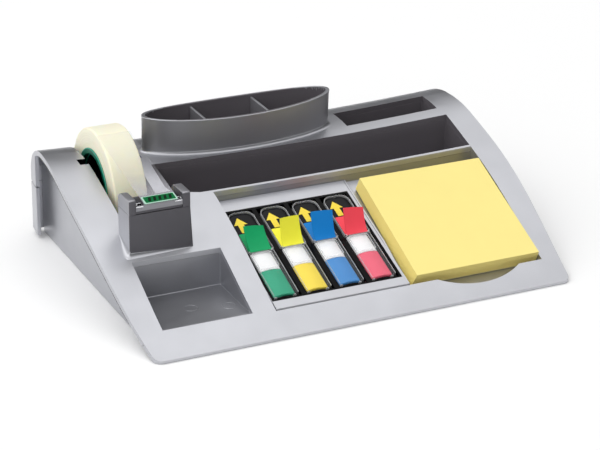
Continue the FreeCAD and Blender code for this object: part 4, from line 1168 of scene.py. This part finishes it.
CAMERA_TURN = 25.74  # degrees to the left of straight ahead
CAMERA_DROP = 23.66  # degrees above the desk
CAMERA_ROLL = 0.81
CAMERA_DISTANCE = 1.2328  # along the view to the desk under the object's middle
FOCAL_PIXELS = 2214.2
FRAME_WIDE = 600
AIM_PIXEL = (296.99, 255.49)  # where that point lies in the photograph's frame
FRAME_MIDDLE = (300.0, 225.0)
AIM_POINT = Vector((0.0, 0.00075, 0.0))
SENSOR = 36.0
LAMP_SIZE = (1.6, 1.2)
SKY_LOW, SKY_HIGH, SKY_LEFT = 0.04, 1.38, 0.8
FLOOR_HALF, FLOOR_DROP = 6.0, 0.0002


def make_camera():
    turn, drop, roll = (radians(a) for a in (CAMERA_TURN, CAMERA_DROP, CAMERA_ROLL))
    ahead = Vector((sin(turn) * cos(drop), cos(turn) * cos(drop),
                    -sin(drop)))
    level = Vector((cos(turn), -sin(turn), 0.0))
    upright = level.cross(ahead)
    right = cos(roll) * level + sin(roll) * upright
    above = cos(roll) * upright - sin(roll) * level
    slip = [(AIM_PIXEL[k] - FRAME_MIDDLE[k]) / FOCAL_PIXELS * CAMERA_DISTANCE for k in (0, 1)]
    place = AIM_POINT - right * slip[0] + above * slip[1] - ahead * CAMERA_DISTANCE
    data = bpy.data.cameras.new("camera")
    data.sensor_width = SENSOR
    data.lens = SENSOR * FOCAL_PIXELS / FRAME_WIDE
    camera = add_object("camera", data)
    camera.matrix_world = Matrix([(*row, 0) for row in (right, above, -ahead)]
                                 + [(*place, 1)]).transposed()
    bpy.context.scene.camera = camera


def lamp(name, place, aim, watts):
    data = bpy.data.lights.new(name, "AREA")
    data.shape = "RECTANGLE"
    data.size, data.size_y = LAMP_SIZE
    data.energy = watts
    light = add_object(name, data)
    light.location = place
    light.rotation_mode = "QUATERNION"
    light.rotation_quaternion = (Vector(aim) - Vector(place)).to_track_quat("-Z", "Y")


def make_floor():
    mesh = bpy.data.meshes.new("floor")
    mesh.from_pydata([(x * FLOOR_HALF, y * FLOOR_HALF, 0)
                      for x, y in ((-1, -1), (1, -1), (1, 1), (-1, 1))], [], [(0, 1, 2, 3)])
    floor = add_object("floor", mesh)
    floor.location.z = -FLOOR_DROP
    mesh.materials.append(Shader("floor", (0.96, 0.96, 0.96, 1), 0.9, specular=0.1).material)


def make_world():
    """A soft sky: dim near the horizon, bright overhead and pale on the left."""
    world = bpy.data.worlds.new("studio")
    bpy.context.scene.world = world
    world.use_nodes = True
    tree = world.node_tree
    where = add_node(tree, "TexCoord").outputs["Generated"]
    split = add_node(tree, "SeparateXYZ", {0: where}).outputs
    overhead, left = (
        add_node(tree, "MapRange", {"Value": split[axis], 1: start, 2: end, 3: low,
                                              4: high}, interpolation_type="SMOOTHSTEP")
        for axis, start, end, low, high in (("Z", 0.5, 0.9, SKY_LOW, SKY_HIGH),
                                            ("X", -0.05, -0.55, 0.0, SKY_LEFT)))
    total = add_node(tree, "Math", {0: overhead.outputs[0], 1: left.outputs[0]},
                     operation="ADD").outputs[0]
    back = tree.nodes["Background"].inputs
    tree.links.new(total, back["Strength"])
    back["Color"].default_value = (1.0, 1.0, 1.0, 1.0)


make_camera()
make_world()
make_floor()
lamp("overhead softbox", (0.1, 0.75, 1.3), (0, 0.02, 0), 1.5)
lamp("front fill", (-0.9, -1.2, 0.95), (0, 0, 0.03), 4.0)
bpy.context.scene.view_settings.view_transform = "Standard"
